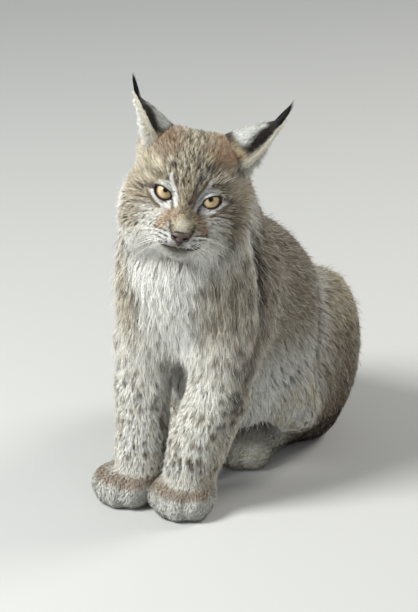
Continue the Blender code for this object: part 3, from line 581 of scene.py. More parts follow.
def face_crosses(points, faces):
    """Each triangle's normal, as long as twice its area."""
    corners = points[faces]
    return np.cross(corners[:, 1] - corners[:, 0], corners[:, 2] - corners[:, 0])


def normals_of(points, faces):
    """Unit normals at the points of a triangle mesh."""
    across = face_crosses(points, faces)
    total = np.zeros_like(points)
    for corner in range(3):
        for axis in range(3):
            total[:, axis] += np.bincount(faces[:, corner], across[:, axis], len(points))
    return unit(total)


def smoothed(values, faces, rounds):
    """Values at a mesh's points, evened out over their neighbours."""
    ends = np.concatenate([faces[:, [0, 1]], faces[:, [1, 2]], faces[:, [2, 0]]])
    count = np.bincount(ends.ravel(), minlength=len(values))[:, None] + 1.0
    for _ in range(rounds):
        total = values.copy()
        for axis in range(values.shape[1]):
            total[:, axis] += np.bincount(ends[:, 0], values[ends[:, 1], axis], len(values))
            total[:, axis] += np.bincount(ends[:, 1], values[ends[:, 0], axis], len(values))
        values = total / count
    return values


# Hash noise: even, repeatable values from places.
def hashed(cells, seed):
    cells = cells.astype(np.int64)
    mixed = cells[..., 0] * 374761393 + cells[..., 1] * 668265263 + cells[..., 2] * 2147483647
    mixed = mixed + seed * 974634777
    mixed = (mixed ^ (mixed >> 13)) * 1274126177
    mixed = mixed ^ (mixed >> 16)
    return (mixed & 0xFFFFFF) / float(0xFFFFFF)


def noise(points, size, seed=0):
    """Smooth noise between 0 and 1, whose lumps are about the given size."""
    scaled = points / size
    base = np.floor(scaled)
    share = scaled - base
    share = share * share * (3 - 2 * share)
    total = np.zeros(len(points))
    for corner in range(8):
        step = np.array((corner & 1, corner >> 1 & 1, corner >> 2 & 1))
        weight = np.prod(np.where(step, share, 1 - share), axis=1)
        total += weight * hashed(base + step, seed)
    return total


def spots(points, spacing, size, seed=0, stretch=(1.0, 1.0, 1.0)):
    """Irregular round spots, one to a cell of the given spacing: 1 at their middles and 0 outside them."""
    stretch = np.array(stretch)
    points = points / stretch
    base = np.floor(points / spacing)
    best = np.full(len(points), 9.0)
    for corner in range(27):
        cell = base + (corner % 3 - 1, corner // 3 % 3 - 1, corner // 9 - 1)
        middle = [cell[:, axis] + 0.15 + 0.7 * hashed(cell, seed + 7 * axis + 1) for axis in range(3)]
        radius = size * (0.6 + 0.7 * hashed(cell, seed + 31))
        best = np.minimum(best, np.linalg.norm(points - np.stack(middle, axis=1) * spacing, axis=1) / radius)
    return ramp(best, 1.25, 0.55)


# Markings.
def srgb(red, green, blue):
    return np.array([(value / 255.0) ** 2.2 for value in (red, green, blue)])


WHITE = srgb(242, 242, 238)
CREAM = srgb(228, 219, 196)
BEIGE = srgb(190, 173, 142)
TAUPE = srgb(118, 106, 84)
GREY = srgb(164, 163, 153)
BROWN = srgb(92, 72, 50)
RUST = srgb(156, 118, 80)
DARK = srgb(48, 36, 27)
BLACK = srgb(20, 17, 16)

# How much each axis counts in the places of the face's marks: depth only a little.
FLAT = np.array((1.0, 0.12, 1.0))

# The face's patches in the head's own axes: colour, how far it covers, place, radii and how soft the edge is.
# Those of the first list are alike on both sides, and those of the second are painted shade on the animal's left
# side only.
FACE_BLOTS = [
    (WHITE, 0.95, (0.0280, -0.058, 0.0035), (0.0165, 0.014, 0.0120), 0.25),
    (TAUPE, 0.65, (0.0410, -0.052, 0.0265), (0.0140, 0.014, 0.0060), 0.5),
    (BROWN, 0.25, (0.0000, -0.066, 0.0080), (0.0085, 0.016, 0.0150), 0.5),
    (mix(CREAM, GREY, 0.35), 0.85, (0.0000, -0.084, -0.0240), (0.0085, 0.020, 0.0085), 0.4),
    (WHITE, 0.92, (0.0200, -0.074, -0.0420), (0.0160, 0.018, 0.0100), 0.3),
    # Grey on the chin: greyish fur, and painted shade below the mouth.
    (GREY, 0.50, (0.0000, -0.066, -0.0600), (0.0180, 0.022, 0.0080), 0.4),
]
LEFT_SHADE_BLOTS = [
    (DARK, 0.85, (0.0605, -0.0460, -0.0420), (0.0065, 0.014, 0.0110), 0.5),
    (DARK, 0.75, (0.0560, -0.0425, -0.0580), (0.0080, 0.016, 0.0060), 0.5),
    (mix(TAUPE, BROWN, 0.5), 0.75, (0.0540, -0.0350, 0.0385), (0.0110, 0.016, 0.0060), 0.5),
    (TAUPE, 0.60, (0.0640, -0.0400, -0.0150), (0.0100, 0.016, 0.0180), 0.5),
]

# The face's streaks, alike on both sides: colour, how far it covers, width and path.
FACE_STROKES = [
    (mix(RUST, BEIGE, 0.25), 0.85, 0.0075, [(0.0150, -0.0665, -0.0085), (0.0190, -0.0695, -0.0155),
                                            (0.0240, -0.0693, -0.0232), (0.0268, -0.0690, -0.0300)]),
    (BROWN, 0.55, 0.0032, [(0.0150, -0.0665, -0.0085), (0.0180, -0.0695, -0.0165),
                           (0.0195, -0.0700, -0.0260)]),
    (BROWN, 0.80, 0.0024, [(0.0195, -0.0620, 0.0290), (0.0165, -0.0615, 0.0190), (0.0115, -0.0630, 0.0080),
                           (0.0088, -0.0660, -0.0020)]),
    (WHITE, 0.85, 0.0030, [(0.0236, -0.0620, 0.0290), (0.0222, -0.0620, 0.0240), (0.0200, -0.0616, 0.0187),
                           (0.0160, -0.0613, 0.0120), (0.0136, -0.0616, 0.0060), (0.0124, -0.0640, -0.0010),
                           (0.0122, -0.0660, -0.0055)]),
    (WHITE, 0.97, 0.0032, [(0.0345, -0.0583, 0.0178), (0.0268, -0.0602, 0.0186), (0.0200, -0.0601, 0.0145)]),
    (WHITE, 0.97, 0.0040, [(0.0440, -0.0556, 0.0056), (0.0366, -0.0581, -0.0024), (0.0285, -0.0596, -0.0064),
                           (0.0205, -0.0614, -0.0078)]),
    (mix(BROWN, DARK, 0.6), 1.00, 0.0042, [(0.0355, -0.0565, 0.0116), (0.0468, -0.0530, 0.0093),
                                           (0.0550, -0.0476, 0.0068), (0.0600, -0.0450, 0.0034)]),
    (mix(BROWN, RUST, 0.2), 1.00, 0.0030, [(0.0475, -0.0533, 0.0052), (0.0440, -0.0566, 0.0000),
                                           (0.0380, -0.0586, -0.0060), (0.0310, -0.0599, -0.0100)]),
    (BROWN, 0.80, 0.0022, [(0.0453, -0.0568, -0.0040), (0.0542, -0.0516, -0.0040),
                           (0.0600, -0.0450, -0.0050)]),
    (BROWN, 0.80, 0.0022, [(0.0464, -0.0572, -0.0095), (0.0540, -0.0520, -0.0105),
                           (0.0600, -0.0460, -0.0110)]),
    (BROWN, 0.55, 0.0030, [(0.0450, -0.0560, -0.0185), (0.0540, -0.0510, -0.0205),
                           (0.0610, -0.0440, -0.0205)]),
    (BROWN, 0.45, 0.0030, [(0.0450, -0.0550, -0.0265), (0.0530, -0.0500, -0.0290),
                           (0.0600, -0.0440, -0.0300)]),
    (BLACK, 1.00, 0.0024, [(0.0170, -0.0600, 0.0000), (0.0150, -0.0640, -0.0072)]),
    (BLACK, 0.90, 0.0021, [(0.0146, -0.0772, -0.0225), (0.0136, -0.0801, -0.0290),
                           (0.0108, -0.0826, -0.0350)]),
    # Dark under the middle of the mouth: the mouth line's thicker middle, and painted shade under the lower lip.
    (mix(DARK, GREY, 0.2), 0.65, 0.0040, [(0.0000, -0.0775, -0.0556), (0.0085, -0.0780, -0.0545)]),
    (DARK, 0.50, 0.0014, [(0.0150, -0.0800, -0.0335), (0.0300, -0.0700, -0.0325)]),
    (DARK, 0.50, 0.0014, [(0.0150, -0.0800, -0.0388), (0.0310, -0.0700, -0.0368)]),
    (DARK, 0.50, 0.0014, [(0.0150, -0.0800, -0.0436), (0.0300, -0.0700, -0.0415)]),
]

# The dark spots at the whiskers' roots: how far to the side, and how high.
WHISKER_SPOTS = [
    (0.0188, -0.0334), (0.0242, -0.0328), (0.0292, -0.0326), (0.0172, -0.0388), (0.0228, -0.0378),
    (0.0284, -0.0370), (0.0182, -0.0434), (0.0235, -0.0424), (0.0276, -0.0416), (0.0150, -0.0455),
]


def face_marks(colour, local):
    """Lays the patches, some of them painted shade, the streaks, the mouth's line and the whiskers' spots over
    the face's colour.
    """
    face, whole = one_sided(local) * FLAT, local * FLAT
    for places, blots in ((face, FACE_BLOTS), (whole, LEFT_SHADE_BLOTS)):
        for shade, cover, centre, radii, soft in blots:
            reach = np.linalg.norm((places - centre * FLAT) / radii, axis=1)
            colour = mix(colour, shade, cover * ramp(reach, 1.0 + soft, 1.0 - soft))
    for shade, cover, width, path in FACE_STROKES:
        colour = mix(colour, shade, cover * ramp(line_distance(face, path * FLAT, 0.0), width, width * 0.45))
    mouth = line_distance(whole, MOUTH * FLAT, 0.0)
    colour = mix(colour, mix(DARK, GREY, 0.2), 0.80 * ramp(mouth, 0.0030, 0.0008) * (local[:, 1] < -0.060))
    for across, up in WHISKER_SPOTS:
        reach = np.hypot((face[:, 0] - across) / 0.0022, (face[:, 2] - up) / 0.0013)
        colour = mix(colour, BLACK, 0.95 * ramp(reach, 1.2, 0.6) * (local[:, 1] < -0.045))
    return colour


def head_colour(local):
    """The head: ticked brown above with streaks on the forehead, pale below, and the face's marks."""
    side, y, z = one_sided(local).T
    fine = noise(local, 0.0026, 4)
    colour = mix(repeated(TAUPE, local), BEIGE, ramp(fine, 0.35, 0.75))
    colour = mix(colour, BROWN, 0.35 * ramp(noise(local, 0.012, 5), 0.50, 0.8))
    streak = local * (1, 0.6, 0.34)
    top = ramp(z, 0.006, 0.022) * ramp(y, 0.040, -0.010)
    middle = ramp(side, 0.044, 0.026)
    colour = mix(colour, CREAM, 0.85 * top * ramp(noise(streak, 0.0017, 6), 0.50, 0.64))
    colour = mix(colour, DARK, 0.90 * top * middle * ramp(noise(streak, 0.0022, 7), 0.53, 0.64))
    rust = mix(repeated(mix(RUST, BROWN, 0.60), local), RUST, ramp(local[:, 0], -0.01, 0.01))
    colour = mix(colour, rust, 0.90 * ramp(np.hypot((side - 0.040) / 0.030, (z - 0.066) / 0.022), 1.3, 0.3))
    low = ramp(z, 0.002, -0.020) * ramp(side, 0.012, 0.026)
    colour = mix(colour, WHITE, 0.72 * low)
    outer = ramp(side, 0.046, 0.058) * ramp(z, -0.056, -0.036) * ramp(z, 0.040, 0.010)
    colour = mix(colour, mix(TAUPE, BEIGE, 0.45), 0.75 * outer)
    colour = mix(colour, BROWN, 0.45 * outer * ramp(fine, 0.5, 0.8))
    colour = mix(colour, WHITE, 0.70 * ramp(side, 0.070, 0.079) * ramp(z, 0.050, 0.000))
    colour = mix(colour, WHITE, 0.90 * ramp(z, -0.046, -0.062) * ramp(side, 0.070, 0.050))
    colour = face_marks(colour, local)
    return colour * (0.86 + 0.26 * noise(local, 0.0017, 8))[:, None]


def ticked(points, first, second, size, seed, low=0.35, high=0.65):
    """Two colours mixed in fine flecks of the given size."""
    flecks = ramp(noise(points, size, seed), low, high)
    return mix(repeated(first, points), second, flecks)


def near_path(points, path, reach):
    """From 1 by a path of the folds to 0 at the given reach."""
    return ramp(line_distance(one_sided(points), path, 0.0), reach, reach * 0.2)


def fold_shades(colour, points):
    """Painted shade in the folds, and pale hair on the shoulder's and haunch's edges, the haunch's partly
    painted highlight.
    """
    shoulder, haunch = near_path(points, FOLDS[0][2], 0.015), near_path(points, FOLDS[1][2], 0.026)
    past_shoulder, past_haunch = behind(points, 0), behind(points, 1)
    high = ramp(points[:, 2], 0.150, 0.210)
    pale = 0.65 * shoulder * (1 - past_shoulder) + 0.55 * haunch * past_haunch * high
    low = ramp(points[:, 2], 0.100, 0.170)
    dark = 0.80 * shoulder * past_shoulder + 0.60 * haunch * (1 - past_haunch) * low
    return mix(mix(colour, WHITE, pale), DARK, dark)


def trunk_colour(points, outs):
    """Taupe above, white below and on the bib, whose edges are mottled brown; pale shoulders."""
    x, y, z = points.T
    mottle = noise(points, 0.014, 11)
    colour = ticked(points, mix(TAUPE, BROWN, 0.50), mix(TAUPE, GREY, 0.35), 0.0030, 12)
    colour = mix(colour, BROWN, 0.50 * ramp(mottle, 0.48, 0.80))
    colour = mix(colour, mix(BEIGE, GREY, 0.5), 0.35 * ramp(z, 0.270, 0.180))
    front = 1 - behind(points, 0)
    colour = mix(colour, ticked(points, mix(CREAM, WHITE, 0.3), BEIGE, 0.0034, 13, 0.45, 0.80), 0.88 * front)
    bib = ramp(np.abs(x + 0.002) - 0.022 * ramp(z, 0.26, 0.34), 0.062, 0.026) * ramp(y, 0.100, 0.066)
    edge = 4 * bib * (1 - bib)
    colour = mix(colour, WHITE, 0.97 * bib)
    marks = spots(points, 0.0140, 0.0072, 5, (1, 1, 1.4))
    colour = mix(colour, mix(BROWN, DARK, 0.2), 0.95 * front * marks * np.maximum(edge, 0.80 * (1 - bib)))
    belly = ramp(z, 0.215, 0.120) * ramp(y, 0.300, 0.240) * (1 - front)
    colour = mix(colour, WHITE, 0.90 * belly)
    spine = ramp(outs[:, 1], 0.20, 0.80) * ramp(z, 0.12, 0.20)
    colour = mix(colour, BROWN, 0.40 * spine)
    return fold_shades(colour, points)


def toe_shade(colour, points, paw, turn, spread):
    """Painted shade between the toes."""
    local = (points - paw) @ turn
    apart = np.abs(local[:, :1] / spread - (-1, 0, 1)).min(axis=1) * spread
    return mix(colour, DARK, 0.30 * ramp(apart, 0.0024, 0.0004) * ramp(local[:, 1], -0.018, -0.026))


def foreleg_colour(points, outs, side):
    """Cream with small dark spots, browner behind and outside, and pale toes under a brown band."""
    x, _, z = points.T
    outward_share = ramp(outs[:, 0] * SIDES[side] + 0.6 * outs[:, 1], -0.3, 0.7)
    colour = ticked(points, WHITE, CREAM, 0.0030, 21, 0.45, 0.85)
    colour = mix(colour, ticked(points, BEIGE, TAUPE, 0.0034, 24), 0.55 * outward_share)
    marks = spots(points, 0.0110, 0.0044, 22, (1, 1, 1.30)) * ramp(z, 0.046, 0.058)
    colour = mix(colour, mix(BROWN, DARK, 0.35), 0.95 * marks * ramp(z, 0.230, 0.190))
    flecks = spots(points, 0.0150, 0.0075, 27, (1, 1, 1.2)) * ramp(z, 0.170, 0.210)
    colour = mix(colour, mix(BROWN, RUST, 0.2), 0.62 * flecks * ramp(np.abs(x), 0.030, 0.055))
    bands = spots(points, 0.0175, 0.0080, 25, (1.3, 1.3, 0.60))
    bands = bands * ramp(z, 0.100, 0.125) * ramp(z, 0.245, 0.215)
    colour = mix(colour, DARK, 0.90 * bands * ramp(outward_share, 0.1, 0.6))
    uneven = 0.006 * (noise(points, 0.011, 26) - 0.5)
    toes_share = ramp(z + uneven, 0.037, 0.030)
    speckle = ticked(points, WHITE, mix(WHITE, GREY, 0.75), 0.0014, 23)
    colour = mix(colour, speckle, 0.92 * toes_share)
    band = ramp(z + uneven, 0.0270, 0.0330) * ramp(z + uneven, 0.0450, 0.0375) * ramp(outs[:, 1], 0.3, -0.3)
    colour = mix(colour, mix(RUST, BROWN, 0.35), 0.66 * band)
    return toe_shade(colour, points, FOREPAWS[side], FOREPAW_TURN[side], 0.0190)


def hindleg_colour(points, outs, side):
    """Cream-beige at the top of the haunch, browner and spotted below with painted shade, and pale on the foot.
    """
    _, y, z = points.T
    outward = outs[:, 0] * SIDES[side]
    colour = ticked(points, mix(BEIGE, GREY, 0.3), CREAM, 0.0030, 31, 0.45, 0.80)
    colour = mix(colour, mix(TAUPE, BEIGE, 0.15), 0.85 * ramp(z, 0.210, 0.150))
    # Brown low on the haunch's outer and back faces: brown fur, deepened as painted shade.
    colour = mix(colour, BROWN, 0.80 * ramp(z, 0.150, 0.080) * ramp(outward + 0.5 * outs[:, 1], -0.2, 0.4))
    colour = mix(colour, BROWN, 0.45 * ramp(noise(points, 0.013, 34), 0.52, 0.75))
    marks = spots(points, 0.0170, 0.0066, 32)
    colour = mix(colour, DARK, 0.80 * marks * ramp(z, 0.060, 0.085) * ramp(z, 0.210, 0.150))
    inner = ramp(outward, 0.2, -0.4) + ramp(y, 0.235, 0.205) * ramp(z, 0.160, 0.120)
    colour = mix(colour, ticked(points, WHITE, CREAM, 0.006, 35), 0.85 * np.clip(inner, 0, 1))
    colour = fold_shades(colour, points)
    # Brown by the hock, behind the foot: brown fur and painted shade.
    colour = mix(colour, BROWN, 0.60 * ramp(z, 0.075, 0.060) * ramp(y, 0.225, 0.260))
    foot = ramp(z, 0.060, 0.044) * ramp(y, 0.262, 0.228)
    colour = mix(colour, ticked(points, WHITE, CREAM, 0.0020, 33), 0.90 * foot)
    return toe_shade(colour, points, np.array(HINDLEGS[side]["paw"]), HIND_PAW_TURN[side], 0.0170)


def tail_colour(points):
    """Brown with a few spots, and black for its last part."""
    along = TAIL_LINE[-1] - TAIL_LINE[1]
    share = (points - TAIL_LINE[1]) @ along / (along @ along)
    colour = mix(repeated(TAUPE, points), BEIGE, noise(points, 0.006, 41))
    colour = mix(colour, BROWN, 0.5 * spots(points, 0.018, 0.005, 42))
    return mix(colour, BLACK, 0.95 * ramp(share, 0.58, 0.72))


def coat_colour(points, outs, weights):
    """The markings: each part's colour, worked out only where that part weighs."""
    painters = [trunk_colour, lambda at, out: head_colour(to_head(at))]
    painters += [lambda at, out, side=side: foreleg_colour(at, out, side) for side in SIDES]
    painters += [lambda at, out, side=side: hindleg_colour(at, out, side) for side in SIDES]
    painters.append(lambda at, out: tail_colour(at))
    total = np.zeros((len(points), 3))
    for index, painter in enumerate(painters):
        near = np.flatnonzero(weights[:, index] > 0.02)
        total[near] += painter(points[near], outs[near]) * weights[near, index][:, None]
    return total


# The lie of the hair.
def head_lie(local):
    away = unit(local - (0, -0.094, -0.020))
    cheek = ramp(local[:, 2], 0.010, -0.030) * ramp(np.abs(local[:, 0]), 0.010, 0.050)
    away = away + cheek[:, None] * np.array((0, 0.15, -0.75))
    back = ramp(local[:, 1], 0.010, 0.060)
    return mix(away, np.array((0, 0.45, -0.9)), back) @ HEAD_TURN.T


def trunk_lie(points):
    front = ramp(points[:, 1], 0.150, 0.070)
    low = ramp(points[:, 2], 0.230, 0.120)
    lie = mix(repeated((0.0, 0.62, -0.78), points), np.array((0.0, -0.06, -1.0)), front)
    return mix(lie, np.array((0.0, 0.22, -0.97)), low * (1 - front))


def foreleg_lie(points):
    paw = ramp(points[:, 2], 0.056, 0.036)
    return mix(repeated((0.0, 0.06, -1.0), points), np.array((0.0, -0.80, -0.75)), paw)


def hindleg_lie(points):
    back = ramp(points[:, 1], 0.230, 0.320)
    lie = mix(repeated((0.0, 0.05, -1.0), points), np.array((0.0, 0.40, -0.92)), back)
    return mix(lie, np.array((0.0, -0.95, -0.20)), ramp(points[:, 2], 0.075, 0.045))


def tail_lie(points):
    tangents = unit(np.gradient(TAIL_LINE, axis=0))
    far = np.linalg.norm(points[:, None] - TAIL_LINE[None], axis=2)
    weights = np.exp(-far / 0.012)
    return unit(weights @ tangents)


def lie_of(points, weights):
    lies = [trunk_lie(points), head_lie(to_head(points))] + [foreleg_lie(points)] * 2
    lies += [hindleg_lie(points)] * 2 + [tail_lie(points)]
    return (np.stack([unit(lie) for lie in lies], axis=1) * weights[:, :, None]).sum(axis=1)


# The unwrap of the skin: an island for each part, round its own axis.
def unwrapped(points, part):
    """Each point's place on its part's island: round the part's axis, and along it."""
    column, row = part % 4, part // 4
    name = PARTS[part]
    if name == "head":
        local = to_head(points)
        turn, along = np.arctan2(local[:, 0], -local[:, 1]), local[:, 2] / 0.19 + 0.5
    elif name == "tail":
        turn, along = np.arctan2(points[:, 2] - 0.022, points[:, 1] - 0.40), 0.5 - points[:, 0] / 0.28
    elif name == "trunk":
        turn, along = np.arctan2(points[:, 0], 0.17 - points[:, 1]), points[:, 2] / 0.42
    elif name.startswith("foreleg_"):
        middle = FORELEGS[name.split("_")[1]][3][0]
        turn, along = np.arctan2(points[:, 0] - middle[0], middle[1] - points[:, 1]), points[:, 2] / 0.30
    else:
        middle = HINDLEGS[name.split("_")[1]]["haunch"]
        turn = np.arctan2(points[:, 0] - middle[0], middle[1] - 0.03 - points[:, 1])
        along = points[:, 2] / 0.26
    across = np.clip(turn / (2 * math.pi) + 0.5, 0, 1)
    up = np.clip(along, 0, 1)
    return np.stack([(column + 0.02 + 0.96 * across) / 4, (row + 0.02 + 0.96 * up) / 2], axis=1)


def head_places(points, faces):
    """The bake map's corners of a piece that lies on the head's island."""
    return unwrapped(points, PARTS.index("head"))[faces.ravel()]


# Meshes.
def add_object(name, mesh, material, slot):
    made = bpy.data.objects.new(name, mesh)
    bpy.context.scene.collection.objects.link(made)
    mesh.materials.append(material)
    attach(made, "root")
    return made


def mesh_from(name, points, faces, colours, bake):
    """A mesh from arrays of points and of triangles or quads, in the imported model's frame."""
    mesh = bpy.data.meshes.new(name)
    sides = faces.shape[1]
    mesh.vertices.add(len(points))
    mesh.vertices.foreach_set("co", (points + SHIFT).astype(np.float32).ravel())
    mesh.loops.add(faces.size)
    mesh.loops.foreach_set("vertex_index", faces.astype(np.int32).ravel())
    mesh.polygons.add(len(faces))
    mesh.polygons.foreach_set("loop_start", np.arange(0, faces.size, sides, dtype=np.int32))
    mesh.polygons.foreach_set("use_smooth", np.ones(len(faces), bool))
    layer = mesh.uv_layers.new(name="OFBake")
    layer.data.foreach_set("uv", bake.astype(np.float32).ravel())
    if colours is not None:
        layer = mesh.attributes.new("coat_colour", "FLOAT_COLOR", "POINT")
        values = np.concatenate([colours, np.ones((len(colours), 1))], axis=1)
        layer.data.foreach_set("color", values.astype(np.float32).ravel())
    mesh.update()
    return mesh


def joined(pieces):
    """Several (points, faces) with one kind of face as one."""
    points, faces, start = [], [], 0
    for each_points, each_faces in pieces:
        points.append(each_points)
        faces.append(each_faces + start)
        start += len(each_points)
    return np.concatenate(points), np.concatenate(faces)


# Materials.
def principled(name, **values):
    material = bpy.data.materials.new(name)
    material.use_nodes = True
    shader = material.node_tree.nodes["Principled BSDF"]
    for key, value in values.items():
        shader.inputs[key.replace("_", " ")].default_value = value
    return material, material.node_tree.nodes, material.node_tree.links, shader


def noise_node(nodes, links, scale):
    place = nodes.new("ShaderNodeTexCoord")
    made = nodes.new("ShaderNodeTexNoise")
    made.inputs["Scale"].default_value = scale
    made.inputs["Detail"].default_value = 3.0
    links.new(place.outputs["Object"], made.inputs["Vector"])
    return made.outputs["Fac"]


def tinted(nodes, links, colour, fac, low, high):
    """The colour made darker and lighter by a noise, between the two factors."""
    span = nodes.new("ShaderNodeMapRange")
    span.inputs["To Min"].default_value = low
    span.inputs["To Max"].default_value = high
    links.new(fac, span.inputs["Value"])
    scaled = nodes.new("ShaderNodeMix")
    scaled.data_type = "RGBA"
    scaled.blend_type = "MULTIPLY"
    scaled.inputs["Factor"].default_value = 1.0
    links.new(colour, scaled.inputs["A"])
    links.new(span.outputs["Result"], scaled.inputs["B"])
    return scaled.outputs["Result"]


def bumped(nodes, links, shader, fac, strength, distance):
    bump = nodes.new("ShaderNodeBump")
    bump.inputs["Strength"].default_value = strength
    bump.inputs["Distance"].default_value = distance
    links.new(fac, bump.inputs["Height"])
    links.new(bump.outputs["Normal"], shader.inputs["Normal"])


def coat_material(name, roughness=0.62, bump=False):
    material, nodes, links, shader = principled(name, Roughness=roughness, Specular_IOR_Level=0.28)
    shader.inputs["Sheen Weight"].default_value = 0.12
    shader.inputs["Sheen Roughness"].default_value = 0.5
    attribute = nodes.new("ShaderNodeAttribute")
    attribute.attribute_name = "coat_colour"
    colour = tinted(nodes, links, attribute.outputs["Color"], noise_node(nodes, links, 260.0), 0.82, 1.16)
    links.new(colour, shader.inputs["Base Color"])
    if bump:
        bumped(nodes, links, shader, noise_node(nodes, links, 700.0), 0.5, 0.0006)
    return material


def plain_material(name, colour, roughness, bump):
    material, nodes, links, shader = principled(name, Roughness=roughness)
    base = nodes.new("ShaderNodeRGB")
    base.outputs[0].default_value = (*colour, 1.0)
    fac = noise_node(nodes, links, 400.0)
    links.new(tinted(nodes, links, base.outputs[0], fac, 0.85, 1.15), shader.inputs["Base Color"])
    if bump:
        bumped(nodes, links, shader, fac, bump, 0.0004)
    return material


# Fur: each tuft is a clump of thin tapered blades whose tips draw together.
class Surface:
    """A furred surface: its points and triangles, and the coat's values at each point."""

    def __init__(self, points, faces, values):
        self.points, self.faces = points, faces
        self.outs = normals_of(points, faces)
        self.values = values
        self.areas = np.linalg.norm(face_crosses(points, faces), axis=1) / 2

    def at_faces(self, name):
        return self.values[name][self.faces].mean(axis=1)

    def scattered(self, chosen, density):
        """Random places on the chosen triangles, at a density per square metre: their values as a dict."""
        wanted = self.areas[chosen] * density
        picks = np.repeat(chosen, np.floor(wanted + DICE.random(len(chosen))).astype(int))
        first, second = DICE.random((2, len(picks)))
        over = first + second > 1
        first[over], second[over] = 1 - first[over], 1 - second[over]
        shares = np.stack([1 - first - second, first, second], axis=1)
        corners = self.faces[picks]
        found = {}
        for name, values in self.values.items():
            found[name] = np.einsum("ij,ij...->i...", shares, values[corners])
        found["root"] = np.einsum("ij,ijk->ik", shares, self.points[corners])
        found["out"] = unit(np.einsum("ij,ijk->ik", shares, self.outs[corners]))
        return found


def turned(vectors, axes, angles):
    """Vectors turned about unit axes that are at right angles to them."""
    return vectors * np.cos(angles)[:, None] + np.cross(axes, vectors) * np.sin(angles)[:, None]


def clumped(tufts, blades, spread, tip_spread, stray=0.05, loose=1.0):
    """Blades from tufts: roots spread about each tuft's own, with a share of that spread left at the tips."""
    count = len(tufts["root"])
    lie = tufts["lie"] - tufts["out"] * (tufts["lie"] * tufts["out"]).sum(axis=1, keepdims=True)
    lie = turned(unit(lie), tufts["out"], DICE.normal(0, 0.17 * loose, count))
    side = np.cross(lie, tufts["out"])
    length = tufts["length"] * DICE.uniform(0.80, 1.15, count)
    repeat = np.repeat(np.arange(count), blades)
    radius = spread * np.sqrt(tufts["length"])[repeat] * np.sqrt(DICE.random(len(repeat)))
    angle = DICE.uniform(0, 2 * math.pi, len(repeat))
    across, ahead = radius * np.cos(angle), radius * np.sin(angle)
    made = {name: values[repeat] for name, values in tufts.items()}
    made["side"] = side[repeat]
    made["root"] = made["root"] + side[repeat] * across[:, None] + lie[repeat] * ahead[:, None]
    drift = -(1 - tip_spread) * across / np.maximum(length[repeat], 1e-5)
    drift = drift + DICE.normal(0, 0.10 * loose, len(repeat))
    made["lie"] = unit(lie[repeat] + side[repeat] * drift[:, None])
    made["length"] = length[repeat] * DICE.uniform(0.72, 1.10, len(repeat))
    made["stand"] = made["depth"]
    made["bend"] = np.zeros(len(repeat))
    lifted = np.where(DICE.random(len(repeat)) < stray, DICE.uniform(1.2, 1.8, len(repeat)), 1.0)
    made["depth"] = made["depth"] * DICE.uniform(0.85, 1.12, count)[repeat]
    made["depth"] = made["depth"] * DICE.uniform(0.75, 1.15, len(repeat)) * lifted
    made["curl"] = (DICE.normal(0, 0.06, count)[repeat] + DICE.normal(0, 0.06, len(repeat))) * loose
    made["shade"] = DICE.normal(1.0, 0.05, count)[repeat] * DICE.normal(1.0, 0.10, len(repeat))
    return made


def blade_pattern(segments):
    """The triangles of one blade, by the numbers of its points."""
    pattern = []
    for at in range(0, 2 * segments - 2, 2):
        pattern += [(at, at + 1, at + 3), (at, at + 3, at + 2)]
    return np.array(pattern + [(2 * segments - 2, 2 * segments - 1, 2 * segments)])


def bladed(hair, segments, sunk=0.0006):
    """Points, triangles and colours of tapered blades that leave the skin and bend to lie along it."""
    count = len(hair["root"])
    lie, out = hair["lie"], hair["out"]
    roll = DICE.normal(0, 0.45, count)
    flat = unit(np.cross(lie, out))
    across = flat * np.cos(roll)[:, None] + out * np.sin(roll)[:, None]
    shares = np.linspace(0, 1, segments + 1)
    widths = np.interp(shares, (0, 0.3, 0.7, 1), (0.75, 1.0, 0.7, 0.0))
    tones = np.interp(shares, (0, 0.35, 0.8, 1), (0.62, 0.92, 1.10, 1.20))
    points = np.empty((count, 2 * segments + 1, 3))
    colours = np.empty((count, 2 * segments + 1, 3))
    for index, share in enumerate(shares):
        rise = hair["depth"] * (1 - (1 - share) ** 1.9) - hair["bend"] * share**2 - sunk * (1 - share)
        middle = hair["root"] + lie * (hair["length"] * share)[:, None] + out * rise[:, None]
        middle += flat * (hair["curl"] * hair["length"] * share**2)[:, None]
        half = across * (hair["width"] * widths[index] / 2)[:, None]
        colour = mix(hair["colour"], hair["tip"], share**1.5)
        colour = np.clip(colour * (hair["shade"] * tones[index])[:, None], 0.0, 0.95)
        if index < segments:
            points[:, 2 * index] = middle - half
            points[:, 2 * index + 1] = middle + half
            colours[:, 2 * index] = colours[:, 2 * index + 1] = colour
        else:
            points[:, -1] = middle
            colours[:, -1] = colour
    points[..., 2] = np.maximum(points[..., 2], FLOOR_GAP)
    faces = blade_pattern(segments)[None] + (np.arange(count) * (2 * segments + 1))[:, None, None]
    return points.reshape(-1, 3), faces.reshape(-1, 3), colours.reshape(-1, 3)


def tuft_map(places, segments):
    """The bake map's corners: for each blade a small patch at its root's own place."""
    heights = np.append(np.repeat(np.arange(segments) / segments, 2), 1.0)
    sides = np.append(np.tile((-0.5, 0.5), segments), 0.0)
    patch = np.stack([sides, heights - 0.5], axis=1) * BAKE_PATCH
    return (places[:, None] + patch[blade_pattern(segments).ravel()][None]).reshape(-1, 2)


def fur_object(name, hair, segments, material, slot, soften=0.75):
    points, faces, colours = bladed(hair, segments)
    mesh = mesh_from(name, points, faces, colours, tuft_map(hair["place"], segments))
    normals = np.repeat(hair["out"], 2 * segments + 1, axis=0)
    own = unit(face_crosses(points, faces))
    per_blade = own.reshape(len(hair["root"]), -1, 3).mean(axis=1)
    normals = unit(normals * soften + np.repeat(per_blade, 2 * segments + 1, axis=0) * (1 - soften))
    mesh.normals_split_custom_set_from_vertices(normals)
    return add_object(name, mesh, material, slot)


